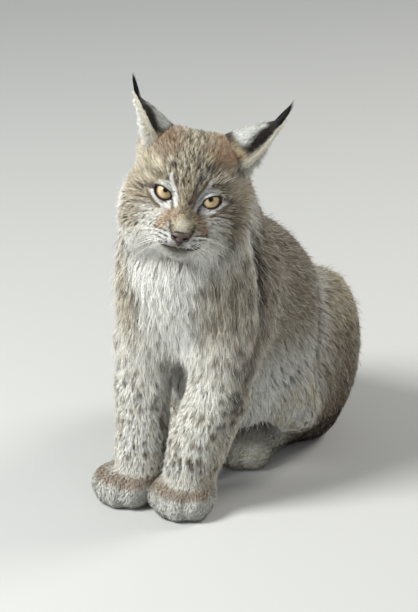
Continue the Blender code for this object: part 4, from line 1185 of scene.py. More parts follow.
# The skin: the head in a fine net, the rest in a coarser one that runs in under it. Known fault: the head's
# box ends about 16 mm too far forward for the nape, and leaves an opening there.
HEAD_MIDDLE = from_head((0, 0.000, 0.012))
HEAD_BOX = (HEAD_MIDDLE - (0.112, 0.112, 0.112), HEAD_MIDDLE + (0.112, 0.112, 0.118))
BODY_BOX = (np.array((-0.150, -0.030, -0.004)), np.array((0.150, 0.440, 0.360)))
HEAD_FLOOR = 0.318


def skin_values(points):
    """The coat at each point of the skin: the parts' weights, the hair's length and the coat's depth."""
    weights = part_weights(distances(points))
    length, depth = coat(points, weights)
    return {"weights": weights, "length": length, "depth": depth}


def flow(points, faces, outs, weights, rounds=6):
    """The lie of the hair over a net, along the surface and evened out."""
    lie = lie_of(points, weights)
    lie = lie + 0.42 * (np.stack([noise(points, 0.021, seed) for seed in (51, 52, 53)], axis=1) - 0.5)
    for _ in range(2):
        lie = unit(lie - outs * (lie * outs).sum(axis=1, keepdims=True))
        lie = smoothed(lie, faces, rounds)
    return unit(lie - outs * (lie * outs).sum(axis=1, keepdims=True))


def skin_net(low, high, cell):
    points, faces = surface_net(skin_distance, low, high, cell)
    points = settled(skin_distance, points)
    points[:, 2] = np.maximum(points[:, 2], SKIN_FLOOR_GAP)
    return points, triangles_of(faces)


def used_only(points, faces):
    kept = np.unique(faces)
    number = np.full(len(points), -1)
    number[kept] = np.arange(len(kept))
    return points[kept], number[faces]


def skin_surfaces():
    """The head's surface and the body's, which overlap round the neck but for the nape. The body's is deeper."""
    nets = ((*HEAD_BOX, HEAD_CELL, lambda at: at[:, 2] > HEAD_FLOOR - NECK_OVERLAP),
            (*BODY_BOX, BODY_CELL, lambda at: at[:, 2] < HEAD_FLOOR + NECK_OVERLAP))
    surfaces = []
    for low, high, cell, keep in nets:
        points, faces = skin_net(low, high, cell)
        points, faces = used_only(points, faces[keep(points[faces].mean(axis=1))])
        values = skin_values(points)
        values["lie"] = flow(points, faces, normals_of(points, faces), values["weights"])
        surfaces.append(Surface(points, faces, values))
    body = surfaces[1]
    body.points -= body.outs * (0.0008 * ramp(body.points[:, 2], HEAD_FLOOR - 0.012, HEAD_FLOOR))[:, None]
    return surfaces


def add_skin(surfaces):
    points, faces = joined([(surface.points, surface.faces) for surface in surfaces])
    outs = np.concatenate([surface.outs for surface in surfaces])
    weights = np.concatenate([surface.values["weights"] for surface in surfaces])
    colours = coat_colour(points, outs, weights) * SKIN_SHADE
    part = weights[faces].mean(axis=1).argmax(axis=1)
    bake = np.zeros((len(faces), 3, 2))
    for each in range(len(PARTS)):
        chosen = part == each
        bake[chosen] = unwrapped(points[faces[chosen]].reshape(-1, 3), each).reshape(-1, 3, 2)
    mesh = mesh_from("skin", points, faces, colours, bake.reshape(-1, 2))
    skin = add_object("skin", mesh, coat_material("skin_under_coat", 0.8, bump=True), "coat_body")
    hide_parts("head", "neck", "torso", "tail")
    for side in SIDES:
        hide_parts("foreleg_" + side, "forepaw_" + side, "hindleg_" + side, "hindpaw_" + side)


def region_tests(centres, part):
    """Which faces of the skin each region of the coat takes, from their centres and their parts."""
    head, trunk = part == PARTS.index("head"), part == PARTS.index("trunk")
    local = to_head(centres)
    x, y, z = centres.T
    front = local[:, 1] < -0.018
    low_cheek = (np.abs(local[:, 0]) > 0.044) & (local[:, 2] < 0.012) | (local[:, 2] < -0.064)
    cheek = low_cheek & (local[:, 1] < 0.035)
    neck = z > 0.300
    chest = (y < 0.100) & ~neck
    under = (z < 0.145) & ~chest
    flank = trunk & ~neck & ~chest & ~under
    tests = {
        "face": head & front & ~low_cheek,
        "cheek": head & cheek,
        "crown": head & ~front & ~cheek,
        "neck": trunk & neck,
        "chest": trunk & chest,
        "belly": trunk & under,
        "flank_left": flank & (x > 0),
        "flank_right": flank & (x <= 0),
        "tail": part == PARTS.index("tail"),
    }
    for side in SIDES:
        foreleg, hindleg = part == PARTS.index("foreleg_" + side), part == PARTS.index("hindleg_" + side)
        tests["forepaw_" + side] = foreleg & (z < 0.048)
        tests["foreleg_" + side] = foreleg & (z >= 0.048)
        tests["hindpaw_" + side] = hindleg & (z < 0.050)
        tests["haunch_" + side] = hindleg & (z >= 0.050)
    return tests


# The coat's regions: tufts to a square metre, blades in a tuft, segments and width of a blade, spread of a
# tuft, the share of that spread left at its tips, and the slot.
REGIONS = {
    "face": (322000, 5, 2, 0.00038, 0.0011, 0.15, "coat_face"),
    "crown": (170000, 6, 2, 0.00052, 0.0020, 0.20, "coat_face"),
    "cheek": (110000, 8, 3, 0.00055, 0.0030, 0.30, "coat_face"),
    "neck": (78000, 8, 3, 0.00065, 0.0040, 0.35, "coat_neck"),
    "chest": (78000, 8, 3, 0.00065, 0.0042, 0.35, "coat_body"),
    "belly": (60000, 8, 3, 0.00075, 0.0042, 0.35, "coat_body"),
    "flank": (84000, 8, 2, 0.00062, 0.0034, 0.25, "coat_body"),
    "haunch": (83000, 8, 2, 0.00062, 0.0032, 0.25, "coat_haunch"),
    "foreleg": (178000, 6, 2, 0.00046, 0.0017, 0.15, "coat_leg"),
    "forepaw": (260000, 6, 2, 0.00042, 0.0012, 0.10, "coat_paw"),
    "hindpaw": (100000, 6, 2, 0.00058, 0.0018, 0.15, "coat_paw"),
    "tail": (95000, 8, 2, 0.00065, 0.0026, 0.30, "coat_tail"),
}


def bent(hair):
    """Bends each blade so that its tip stays in the outside of the coat where the skin curves under it."""
    tips = hair["root"] + hair["lie"] * hair["length"][:, None] + hair["out"] * hair["stand"][:, None]
    hair["bend"] = np.clip(outside(distances(tips), tips), -0.010, 0.014)
    return hair


def along_hair(hair, share):
    """The places at a share of the blades' length."""
    rise = hair["depth"] * (1 - (1 - share) ** 1.9) - hair["bend"] * share**2
    return hair["root"] + hair["lie"] * (hair["length"] * share)[:, None] + hair["out"] * rise[:, None]


def painted(hair):
    """Gives the blades the colours of the places under their two halves, and their places on the bake map."""
    count = len(hair["root"])
    hair["tip"] = coat_colour(along_hair(hair, 0.75), hair["out"], hair["weights"])
    hair["colour"] = coat_colour(along_hair(hair, 0.25), hair["out"], hair["weights"]) * ROOT_SHADE
    pale = DICE.random(count) < 0.26
    hair["tip"][pale] = mix(hair["tip"][pale], WHITE, 0.45)
    dark = ~pale & (DICE.random(count) < 0.20)
    hair["tip"][dark] = mix(hair["tip"][dark], DARK, 0.42)
    part = hair["weights"].argmax(axis=1)
    hair["place"] = np.zeros((count, 2))
    for each in range(len(PARTS)):
        hair["place"][part == each] = unwrapped(hair["root"][part == each], each)
    return hair


def slit_shares(local):
    """Below 1 inside the slit of the nearer eye's lids, in the head's axes."""
    nearest = np.full(len(local), 9.0)
    for sign in SIDES.values():
        eye = (local - mirrored(EYE_PLACE, sign)) @ eye_axes(sign)
        reach = np.linalg.norm((eye[:, [0, 2]] - (-0.0006, 0.0000)) / (0.0128, 0.0079), axis=1)
        nearest = np.minimum(nearest, np.where(eye[:, 1] > 0, reach, 9.0))
    return nearest


def bare(tufts):
    """Leaves out the tufts in the eyes, on the nose pad and along the line of the mouth."""
    local = to_head(tufts["root"])
    kept = slit_shares(local) > 1.0
    kept &= nose_distance(local - NOSE_PLACE) > 0.0008
    kept &= line_distance(local * FLAT, MOUTH * FLAT, 0.0017) > 0
    return {name: values[kept] for name, values in tufts.items()}


def kept_off_eyes(hair):
    """Shortens the blades whose tips would cross an eye."""
    for _ in range(3):
        tips = to_head(hair["root"] + hair["lie"] * hair["length"][:, None])
        hair["length"] = np.where(slit_shares(tips) < 0.98, hair["length"] * 0.6, hair["length"])
    return hair


def add_fur(surfaces):
    """The coat of every region, first the head's surface and then the body's. Gives the materials by slot."""
    materials = {}
    for index, surface in enumerate(surfaces):
        centres = surface.points[surface.faces].mean(axis=1)
        part = surface.at_faces("weights").argmax(axis=1)
        owned = centres[:, 2] > HEAD_FLOOR if index == 0 else centres[:, 2] <= HEAD_FLOOR
        for name, chosen in region_tests(centres, part).items():
            faces = np.flatnonzero(chosen & owned)
            if len(faces) < FEWEST_FACES:
                continue
            density, blades, segments, width, spread, tip_spread, slot = REGIONS[name.split("_")[0]]
            if slot not in materials:
                materials[slot] = coat_material(slot)
            tufts = surface.scattered(faces, density)
            if index == 0:
                tufts = bare(tufts)
            hair = clumped(tufts, blades, spread, tip_spread)
            hair["width"] = width * DICE.uniform(0.75, 1.2, len(hair["root"]))
            if index == 0:
                hair = kept_off_eyes(hair)
            hair = bent(hair)
            tuft_name = "fur_" + name + ("_upper" if index == 0 and name in ("neck", "chest") else "")
            fur_object(tuft_name, painted(hair), segments, materials[slot], slot)
    return materials


# The ears: cupped sheets whose front edge, back and hollow each have their own hair. For each side: where the
# pale patch of the back ends towards the front, how much further it goes lower down, and where the wool of
# the front edge begins.
EAR_PATCH = {"left": (0.16, 0.30), "right": (0.30, 0.28)}
EAR_WOOL = {"left": 0.72, "right": 0.80}


def axes_along(up, towards):
    up = unit(up)
    forward = unit(towards - up * (np.asarray(towards) @ up))
    return np.stack([np.cross(forward, up), forward, up], axis=1)


def ear_surface(side, share, across, inset):
    """Points of the ear: share runs from root to tip, across between the edges, and inset into the cup."""
    sign = SIDES[side]
    root = mirrored(EAR_ROOT, sign)
    up = mirrored(EAR_TIP[side], sign) - root
    turn = EAR_TURN[side]
    axes = axes_along(up, np.array((0.8 * sign * math.cos(turn), -math.sin(turn), -0.6 * math.cos(turn))))
    left = np.maximum(1.0 - share, 0.0)
    width = EAR_HALF_WIDTH * left**0.58 * (1.0 + 0.22 * np.sin(math.pi * np.minimum(share * 1.2, 1.0)))
    hollow = EAR_HOLLOW * left**0.84
    angle = across * math.radians(78)
    outer = np.stack([(width - inset) * np.sin(angle), -(hollow - inset) * np.cos(angle) + 0.004 * share,
                      np.linalg.norm(up) * share], axis=-1)
    return from_head(root + outer @ axes.T)


def ear_grid(side, inset):
    rows, columns = EAR_ROWS, EAR_COLUMNS
    share, across = np.meshgrid(np.linspace(-0.14, 0.985, rows), np.linspace(-1, 1, columns), indexing="ij")
    share, across = share.ravel(), across.ravel()
    points = ear_surface(side, share, across, np.minimum(inset, 0.4 * (1 - share) * EAR_HALF_WIDTH))
    at = (np.arange(rows - 1)[:, None] * columns + np.arange(columns - 1)).ravel()
    faces = np.stack([at, at + 1, at + columns + 1, at + columns], axis=1)
    return points, faces, share, across


def ear_front(side, across):
    """How near the ear's front edge is: 1 on it and -1 on the back edge."""
    return across * SIDES[side]


def ear_colours(side, share, across, inner):
    front = ear_front(side, across)
    place = np.stack([share * 0.06, across * 0.03, np.zeros(len(share))], axis=1)
    fine = noise(place, 0.0035, 61)
    if inner:
        colour = mix(repeated(srgb(150, 128, 104), share), CREAM, 0.6 * fine)
        # Painted shade deep in the ear's hollow, towards its root and away from its front edge.
        colour = mix(colour, DARK, 0.75 * ramp(share, 0.38, 0.05) * ramp(front, 0.85, 0.3))
        return mix(colour, CREAM, 0.8 * ramp(front, 0.55, 0.95))
    colour = mix(repeated(BLACK, share), DARK, fine)
    patch_end, patch_more = EAR_PATCH[side]
    reach = patch_end + patch_more * ramp(share, 0.65, 0.25)
    patch = ramp(front - reach, 0.14, -0.14) * ramp(share, 0.12, 0.28) * ramp(share, 0.82, 0.64)
    colour = mix(colour, mix(repeated(GREY, share), WHITE, 0.4 + 0.6 * fine), 0.94 * patch)
    base = ramp(share, 0.24, 0.08)
    ticks = ticked(place, mix(TAUPE, RUST, 0.5), BEIGE, 0.0028, 63)
    colour = mix(colour, ticks, 0.90 * base * ramp(front, -0.2, 0.4))
    # Dark grey low on the back towards its back edge: the ear's own grey, and painted shade where it meets the
    # head.
    colour = mix(colour, mix(repeated(GREY, share), DARK, 0.65), 0.7 * base * ramp(front, 0.2, -0.4))
    edge = ramp(front, EAR_WOOL[side], EAR_WOOL[side] + 0.10) * ramp(share, 1.0, 0.80)
    wool = mix(repeated(mix(CREAM, WHITE, 0.4), share), BEIGE, ramp(noise(place, 0.0020, 64), 0.45, 0.75))
    return mix(colour, wool, 0.9 * edge)


def ear_place(side, share, across, inner):
    """Places on the bake map: a strip for each face of each ear, in the map's last cell."""
    strip = 3.03 + (0.48 if inner else 0.0) + (0.24 if side == "left" else 0.0)
    along = np.clip(share + 0.14, 0, 1.15) / 1.15 * 0.4
    return np.array((strip / 4, 1.05 / 2)) + np.stack([(across * 0.5 + 0.5) * 0.21 / 4, along], axis=1)


def ear_sheet(side, material):
    outer, faces, share, across = ear_grid(side, 0.0004)
    inner, _, _, _ = ear_grid(side, 0.0024)
    rows, columns = EAR_ROWS, EAR_COLUMNS
    rim = np.concatenate([np.arange(columns), np.arange(1, rows) * columns + columns - 1,
                          (rows - 1) * columns + np.arange(columns - 2, -1, -1),
                          np.arange(rows - 2, 0, -1) * columns])
    following = np.roll(rim, -1)
    back = len(outer)
    rim_faces = np.stack([following, rim, back + rim, back + following], axis=1)
    faces = np.concatenate([faces, back + faces[:, ::-1], rim_faces])
    colours = np.concatenate([ear_colours(side, share, across, is_inner) for is_inner in (False, True)]) * 0.7
    places = np.concatenate([ear_place(side, share, across, is_inner) for is_inner in (False, True)])
    points = np.concatenate([outer, inner])
    mesh = mesh_from("ear_skin_" + side, points, faces, colours, places[faces.ravel()])
    turned_out = bmesh.new()
    turned_out.from_mesh(mesh)
    bmesh.ops.recalc_face_normals(turned_out, faces=turned_out.faces)
    turned_out.to_mesh(mesh)
    turned_out.free()
    ear = add_object("ear_skin_" + side, mesh, material, "coat_ear")
    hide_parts("ear_" + side)


def ear_frame(side, share, across, inner):
    """Places on the ear with their outward directions and the way to the tip."""
    inset = np.minimum(0.0024 if inner else 0.0004, 0.4 * (1 - share) * EAR_HALF_WIDTH)
    here = ear_surface(side, share, across, inset)
    up = unit(ear_surface(side, share + 0.01, across, inset) - here)
    over = unit(ear_surface(side, share, across + 0.01, inset) - here)
    out = unit(np.cross(up, over))
    middle = ear_surface(side, share, across * 0, np.full(len(share), 0.024))
    flip = np.sign((out * (middle - here)).sum(axis=1))[:, None]
    out = out * flip * (1 if inner else -1)
    return here, up, over, out


def cup_way(side):
    """The direction that the ear's cup opens to."""
    none = np.zeros(1)
    low = none + 0.3
    return unit(ear_surface(side, low, none, none + 0.02) - ear_surface(side, low, none, none))[0]


def ear_hair(side, share, across, inner, length, depth, width, lie):
    """Tufts at places of the ear, whose lie is worked out from the ways up, over and out of it."""
    here, up, over, out = ear_frame(side, share, across, inner)
    count = len(share)
    colour = ear_colours(side, share, across, inner)
    way = unit(lie(up, over, out))
    out = unit(out - way * (out * way).sum(axis=1, keepdims=True))
    return {
        "root": here,
        "out": out,
        "lie": way,
        "length": np.broadcast_to(length, count) * 1.0,
        "depth": np.broadcast_to(depth, count) * 1.0,
        "colour": colour * 0.75,
        "tip": colour,
        "place": ear_place(side, share, across, inner),
        "width": np.full(count, width) * DICE.uniform(0.7, 1.2, count),
    }


def blades_of(made, blades, spread, tip_spread, loose=1.0):
    """Tufts made into blades, all but their widths."""
    width = made.pop("width")
    hair = clumped(made, blades, spread, tip_spread, loose=loose)
    hair["width"] = np.repeat(width, blades)
    return hair


def ear_spots(count, low=0.0, high=0.97):
    """Random places on an ear, more of them towards its root."""
    share = low + (high - low) * (1 - np.sqrt(1 - 0.92 * DICE.random(count)))
    return share, DICE.uniform(-0.98, 0.98, count)


def ear_back(side):
    share, across = ear_spots(2700)
    length = 0.0060 + 0.0045 * ramp(share, 0.25, 0.0)
    toward = 0.25 * SIDES[side]
    return blades_of(ear_hair(side, share, across, False, length, 0.0017, 0.00048,
                              lambda up, over, out: up + toward * over), 5, 0.0010, 0.4)


def ear_lining(side):
    share, across = ear_spots(1000, 0.02, 0.9)
    length = 0.0065 + 0.006 * ramp(share, 0.5, 0.0)
    return blades_of(ear_hair(side, share, across, True, length, 0.0030, 0.00045,
                              lambda up, over, out: up + 0.15 * out), 5, 0.0012, 0.3)


def ear_fringe(side):
    """Long pale hairs that leave the cup by its front edge, and hang down from its lower half."""
    count = 900
    share = -0.06 + 0.92 * DICE.random(count) ** 1.4
    across = DICE.uniform(0.55, 0.99, count) * SIDES[side]
    low = ramp(share, 0.75, 0.10)
    length = 0.0070 + 0.0130 * low
    down = np.array((0.0, 0.0, -1.0))
    way = cup_way(side)
    made = ear_hair(side, share, across, True, length, 0.0030, 0.00042,
                    lambda up, over, out: 0.8 * way + 0.5 * (1 - low)[:, None] * up
                    + 1.1 * low[:, None] * down)
    made["tip"] = np.tile(mix(WHITE, GREY, 0.35), (count, 1))
    made["colour"] = np.tile(mix(CREAM, GREY, 0.5) * 0.8, (count, 1))
    return blades_of(made, 7, 0.0014, 0.3)


def ear_edge(side):
    """The short hair of both edges, which hides the thickness of the ear."""
    count = 1300
    share = DICE.uniform(0.0, 0.96, count)
    across = ear_front(side, np.where(DICE.random(count) < 0.65, 0.985, -0.985))
    sign = np.sign(across)[:, None]
    front = ear_front(side, across) > 0
    across = np.where(front, across * DICE.uniform(0.88, 1.0, count), across)
    made = ear_hair(side, share, across, False, 0.0052, np.where(front, 0.0028, 0.0012), 0.00042,
                    lambda up, over, out: up + np.where(front, 0.2, 0.6)[:, None] * sign * over)
    wool = DICE.uniform(0.0, 1.0, front.sum())
    made["tip"][front] = mix(np.tile(mix(CREAM, WHITE, 0.5), (front.sum(), 1)), BEIGE, 0.6 * wool)
    made["colour"][front] = made["tip"][front] * 0.7
    return blades_of(made, 5, 0.0009, 0.3)


def ear_tuft(side):
    """The black tuft, whose hairs come to a point above the tip of the ear."""
    count = 80
    share = DICE.uniform(0.86, 0.985, count)
    across = DICE.uniform(-0.9, 0.9, count)
    made = ear_hair(side, share, across, False, 0.0260, 0.0008, 0.00050, lambda up, over, out: up)
    tip = ear_surface(side, np.ones(1), np.zeros(1), np.zeros(1))[0]
    way = unit(mix(made["lie"].mean(axis=0), np.array((0.0, 0.0, 1.0)), TUFT_LIFT[side]))
    target = tip + way * TUFT_REACH
    made["lie"] = unit(target - made["root"])
    made["out"] = unit(made["out"] - made["lie"] * (made["out"] * made["lie"]).sum(axis=1, keepdims=True))
    made["length"] = np.linalg.norm(target - made["root"], axis=1) * DICE.uniform(0.75, 1.0, count)
    made["tip"] = np.tile(BLACK, (count, 1))
    made["colour"] = np.tile(BLACK, (count, 1))
    return blades_of(made, 6, 0.0005, 0.2, 0.25)


def stacked(hairs):
    """Several dicts of hair as one, with the arrays that all of them have."""
    names = set.intersection(*[set(hair) for hair in hairs])
    return {name: np.concatenate([hair[name] for hair in hairs]) for name in sorted(names)}


def add_ears(material):
    for side in SIDES:
        ear_sheet(side, material)
        back = stacked([ear_back(side), ear_edge(side), ear_tuft(side)])
        hollow = stacked([ear_lining(side), ear_fringe(side)])
        fur_object("fur_ear_back_" + side, back, 2, material, "coat_ear", 0.5)
        fur_object("fur_ear_hollow_" + side, hollow, 3, material, "coat_ear", 0.3)


# The eyes: glossy balls with painted irises, between dark-rimmed lids.
def add_ramp(nodes, stops):
    made = nodes.new("ShaderNodeValToRGB")
    made.color_ramp.elements.remove(made.color_ramp.elements[0])
    for index, (place, colour) in enumerate(stops):
        stop = made.color_ramp.elements[0] if index == 0 else made.color_ramp.elements.new(place)
        stop.position = place
        stop.color = (*colour, 1.0)
    return made


def vector_node(nodes, links, operation, source):
    made = nodes.new("ShaderNodeVectorMath")
    made.operation = operation
    links.new(source, made.inputs[0])
    return made


def eye_material():
    """Rings of colour round the gaze, which is the ball's own Z, and streaks that run out from the pupil."""
    material, nodes, links, shader = principled("eye", Roughness=0.35, Specular_IOR_Level=0.05)
    shader.inputs["Coat Weight"].default_value = 0.4
    shader.inputs["Coat Roughness"].default_value = 0.02
    place = nodes.new("ShaderNodeTexCoord")
    parts = nodes.new("ShaderNodeSeparateXYZ")
    links.new(place.outputs["Object"], parts.inputs[0])
    flat = nodes.new("ShaderNodeCombineXYZ")
    links.new(parts.outputs["X"], flat.inputs["X"])
    links.new(parts.outputs["Y"], flat.inputs["Y"])
    reach = vector_node(nodes, links, "LENGTH", flat.outputs[0])
    around = vector_node(nodes, links, "NORMALIZE", flat.outputs[0])
    streaks = nodes.new("ShaderNodeTexNoise")
    streaks.inputs["Scale"].default_value = 9.0
    streaks.inputs["Detail"].default_value = 4.0
    links.new(around.outputs[0], streaks.inputs["Vector"])
    share = nodes.new("ShaderNodeMath")
    share.operation = "DIVIDE"
    share.inputs[1].default_value = EYE_RADIUS
    links.new(reach.outputs["Value"], share.inputs[0])
    pupil, iris = PUPIL_RADIUS / EYE_RADIUS, IRIS_RADIUS / EYE_RADIUS
    rings = add_ramp(nodes, [(0.0, (0.004, 0.003, 0.003)), (pupil - 0.02, (0.004, 0.003, 0.003)),
                             (pupil + 0.03, srgb(134, 114, 80)), (pupil + 0.14, srgb(182, 158, 124)),
                             (iris - 0.20, srgb(202, 176, 142)), (iris - 0.07, srgb(112, 92, 62)),
                             (iris, srgb(40, 27, 18)), (1.0, srgb(28, 19, 13))])
    links.new(share.outputs[0], rings.inputs[0])
    colour = tinted(nodes, links, rings.outputs["Color"], streaks.outputs["Fac"], 0.45, 1.50)
    links.new(colour, shader.inputs["Base Color"])
    return material


def add_eye(side, material):
    mesh = bpy.data.meshes.new("eyeball_" + side)
    ball = bmesh.new()
    bmesh.ops.create_uvsphere(ball, u_segments=64, v_segments=48, radius=EYE_RADIUS - 0.0001)
    for vert in ball.verts:
        reach = math.hypot(vert.co.x, vert.co.y)
        if vert.co.z > 0:
            vert.co.z += CORNEA_RISE * (1 - min(reach / CORNEA_RADIUS, 1.0) ** 2) ** 2
    for face in ball.faces:
        face.smooth = True
    ball.to_mesh(mesh)
    ball.free()
    gaze = Vector(HEAD_TURN @ unit(GAZE[side]))
    eye = bpy.data.objects.new("eyeball_" + side, mesh)
    bpy.context.scene.collection.objects.link(eye)
    centre = Vector(from_head(mirrored(EYE_PLACE, SIDES[side])) + SHIFT)
    eye.matrix_world = Matrix.Translation(centre) @ gaze.to_track_quat("Z", "Y").to_matrix().to_4x4()
    mesh.materials.append(material)
    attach(eye, "root")
    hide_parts("eye_" + side)


# The lids' section: how far out from their edge each row is, and how high above the eyeball. Hair grows from
# row LID_FUR_ROW on.
LID_STEPS = ((0.0000, -0.0012), (0.0000, 0.0004), (0.0002, 0.0010), (0.0007, 0.0014), (0.0013, 0.0016),
             (0.0021, 0.0015), (0.0034, 0.0012), (0.0050, 0.0005), (0.0066, -0.0006), (0.0085, -0.0024))
LID_FUR_ROW = 4
LID_COLUMNS = 72


def lid_ring(side):
    """Rings of points over one eye's lids, from inside their edge out under the fur, and the way outward."""
    sign = SIDES[side]
    axes = eye_axes(sign)
    turn = np.linspace(0, 2 * math.pi, LID_COLUMNS, endpoint=False)
    across = -0.0006 + np.where(np.cos(turn) < 0, 0.0120, 0.0116) * np.cos(turn)
    height = np.where(np.sin(turn) > 0, UPPER_LID, LOWER_LID) * np.sin(turn) * np.abs(np.sin(turn)) ** 0.30
    height -= 0.0022 * ramp(-across, 0.0070, 0.0124)
    outward = unit(np.stack([np.cos(turn) * 0.8, np.sin(turn)], axis=1))
    points = []
    for out, lift in LID_STEPS:
        x, z = across + outward[:, 0] * out, height + outward[:, 1] * out
        radius = EYE_RADIUS + lift
        y = np.sqrt(np.maximum(radius**2 - x**2 - z**2, 0.0030**2)) + min(lift, 0)
        place = mirrored(EYE_PLACE, sign) + np.stack([x, y, z], axis=1) @ axes.T
        points.append(from_head(place))
    return points, HEAD_TURN @ axes[:, 1]


def uncut_skin(points):
    """The skin before the eyes and the mouth are cut into it."""
    parts = distances(points)
    return outside(parts, points) + coat(points, part_weights(parts))[1]


def add_lids(side, material):
    """The lids of one eye, lifted where they would lie under the skin, and their hair."""
    rings, out = lid_ring(side)
    rows, columns = len(rings), len(rings[0])
    for index in range(1, rows - 2):
        sunk = np.maximum(0.0004 - uncut_skin(rings[index]), 0.0)
        rings[index] = rings[index] + out * sunk[:, None]
    points = np.concatenate(rings)
    index = np.arange(rows - 1)[:, None] * columns
    column = np.arange(columns)
    following = (column + 1) % columns
    faces = np.stack([index + column, index + following, index + columns + following,
                      index + columns + column], axis=-1).reshape(-1, 4)
    if (normals_of(points, triangles_of(faces)) @ out).sum() < 0:
        faces = faces[:, ::-1]
    # The lids' dark rim, drawn out further towards the eyes' corners: dark skin, and painted shade in the
    # corners' pockets.
    corner = np.abs(np.cos(2 * math.pi * np.arange(columns) / columns)) ** 6
    shade = np.clip((np.arange(rows)[:, None] - LID_FUR_ROW - 2.0 * corner) / 1.4, 0, 1).ravel()
    colours = mix(repeated(srgb(30, 22, 18), points), head_colour(to_head(points)) * 0.6, shade)
    mesh = mesh_from("lids_" + side, points, faces, colours, head_places(points, faces))
    add_object("lids_" + side, mesh, material, "coat_face")
    add_lid_fur(side, points, triangles_of(faces), rows, columns, material)


def add_lid_fur(side, points, faces, rows, columns, material):
    """Short hair over the outer part of the lids, combed away from the eye."""
    count = len(points)
    row = np.arange(count) // columns
    ahead = np.where(row < rows - 1, np.arange(count) + columns, np.arange(count))
    away = unit(points[ahead] - points[ahead - columns])
    weights = np.zeros((count, len(PARTS)))
    weights[:, PARTS.index("head")] = 1.0
    share = np.clip((row - LID_FUR_ROW) / (rows - LID_FUR_ROW - 1.0), 0, 1)
    values = {"lie": away, "length": 0.0022 + 0.0022 * share,
              "depth": np.full(count, 0.0008), "weights": weights}
    surface = Surface(points, faces, values)
    furred = (row[faces].min(axis=1) >= LID_FUR_ROW) & (row[faces].max(axis=1) <= rows - 2)
    chosen = np.flatnonzero(furred)
    hair = clumped(surface.scattered(chosen, 900000), 4, 0.0007, 0.1)
    hair["width"] = 0.00030 * DICE.uniform(0.75, 1.2, len(hair["root"]))
    fur_object("fur_lids_" + side, painted(hair), 2, material, "coat_face")


# The nose pad, the lips and the whiskers.
def nose_distance(local):
    """The nose pad without its nostrils, in axes from its own middle."""
    masses = [
        (ellipsoid((0, 0, 0.0022), (0.0104, 0.0078, 0.0052)), 0.003),
        (ellipsoid((0, 0.0005, -0.0036), (0.0042, 0.0070, 0.0056)), 0.003),
    ]
    for sign in SIDES.values():
        masses.append((ellipsoid((0.0062 * sign, 0.0010, -0.0008), (0.0048, 0.0068, 0.0044)), 0.002))
    return fused(masses)(local)


def nostriled(local):
    """The nose pad with its two comma-shaped nostrils and the groove down its middle."""
    total = nose_distance(local) - 0.0002
    for sign in SIDES.values():
        for place, radii in (((0.0050, -0.0068, -0.0012), (0.0021, 0.0036, 0.0017)),
                             ((0.0074, -0.0052, -0.0002), (0.0020, 0.0036, 0.0010)),
                             ((0.0092, -0.0030, 0.0006), (0.0016, 0.0036, 0.0006))):
            total = -melted(-total, ellipsoid(mirrored(place, sign), radii)(local), 0.0006)
    groove = limb((0, -0.0092, 0.0010), (0, -0.0088, -0.0100), 0.0005, 0.0007)(local)
    return -melted(-total, groove, 0.0009)


def nose_material():
    material, nodes, links, shader = principled("nose_pad", Roughness=0.46, Specular_IOR_Level=0.45)
    attribute = nodes.new("ShaderNodeAttribute")
    attribute.attribute_name = "coat_colour"
    cells = nodes.new("ShaderNodeTexVoronoi")
    place = nodes.new("ShaderNodeTexCoord")
    links.new(place.outputs["Object"], cells.inputs["Vector"])
    cells.inputs["Scale"].default_value = 1500.0
    colour = tinted(nodes, links, attribute.outputs["Color"], cells.outputs["Distance"], 0.85, 1.12)
    links.new(colour, shader.inputs["Base Color"])
    bumped(nodes, links, shader, cells.outputs["Distance"], 0.45, 0.0003)
    return material


def add_nose():
    def distance(points):
        return nostriled(to_head(points) - NOSE_PLACE)

    centre = from_head(NOSE_PLACE)
    points, faces = surface_net(distance, centre - 0.0165, centre + 0.0165, 0.00044)
    points = settled(distance, points)
    local = to_head(points) - NOSE_PLACE
    rim = ramp(np.abs(local[:, 2] - 0.0004), 0.0032, 0.0056)
    # Near black inside the nostrils and down the groove: painted shade in these hollows.
    hollow = ramp(nose_distance(local), -0.0002, -0.0014)
    dark = np.maximum(0.85 * rim, 0.95 * hollow)
    colours = mix(repeated(srgb(84, 70, 66), points), srgb(24, 20, 19), dark)
    mesh = mesh_from("nose_pad", points, faces, colours, head_places(points, faces))
    nose = add_object("nose_pad", mesh, nose_material(), "nose_pad")
    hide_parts("nose")


def tube(line, radii, sides=6):
    """A closed tube along a line of points, as triangles."""
    line, radii = np.asarray(line, float), np.asarray(radii, float)
    ahead = unit(np.gradient(line, axis=0))
    first = unit(np.cross(ahead, (0.31, 0.12, 0.94)))
    second = np.cross(ahead, first)
    turn = np.linspace(0, 2 * math.pi, sides, endpoint=False)
    rounds = np.cos(turn)[None, :, None] * first[:, None] + np.sin(turn)[None, :, None] * second[:, None]
    rings = line[:, None] + radii[:, None, None] * rounds
    points = np.concatenate([rings.reshape(-1, 3), line[:1], line[-1:]])
    faces = []
    for row in range(len(line) - 1):
        for side in range(sides):
            at, over = row * sides + side, row * sides + (side + 1) % sides
            faces += [(at, over, over + sides), (at, over + sides, at + sides)]
    last = (len(line) - 1) * sides
    for side in range(sides):
        over = (side + 1) % sides
        faces += [(len(points) - 2, over, side), (len(points) - 1, last + side, last + over)]
    return points, np.array(faces)


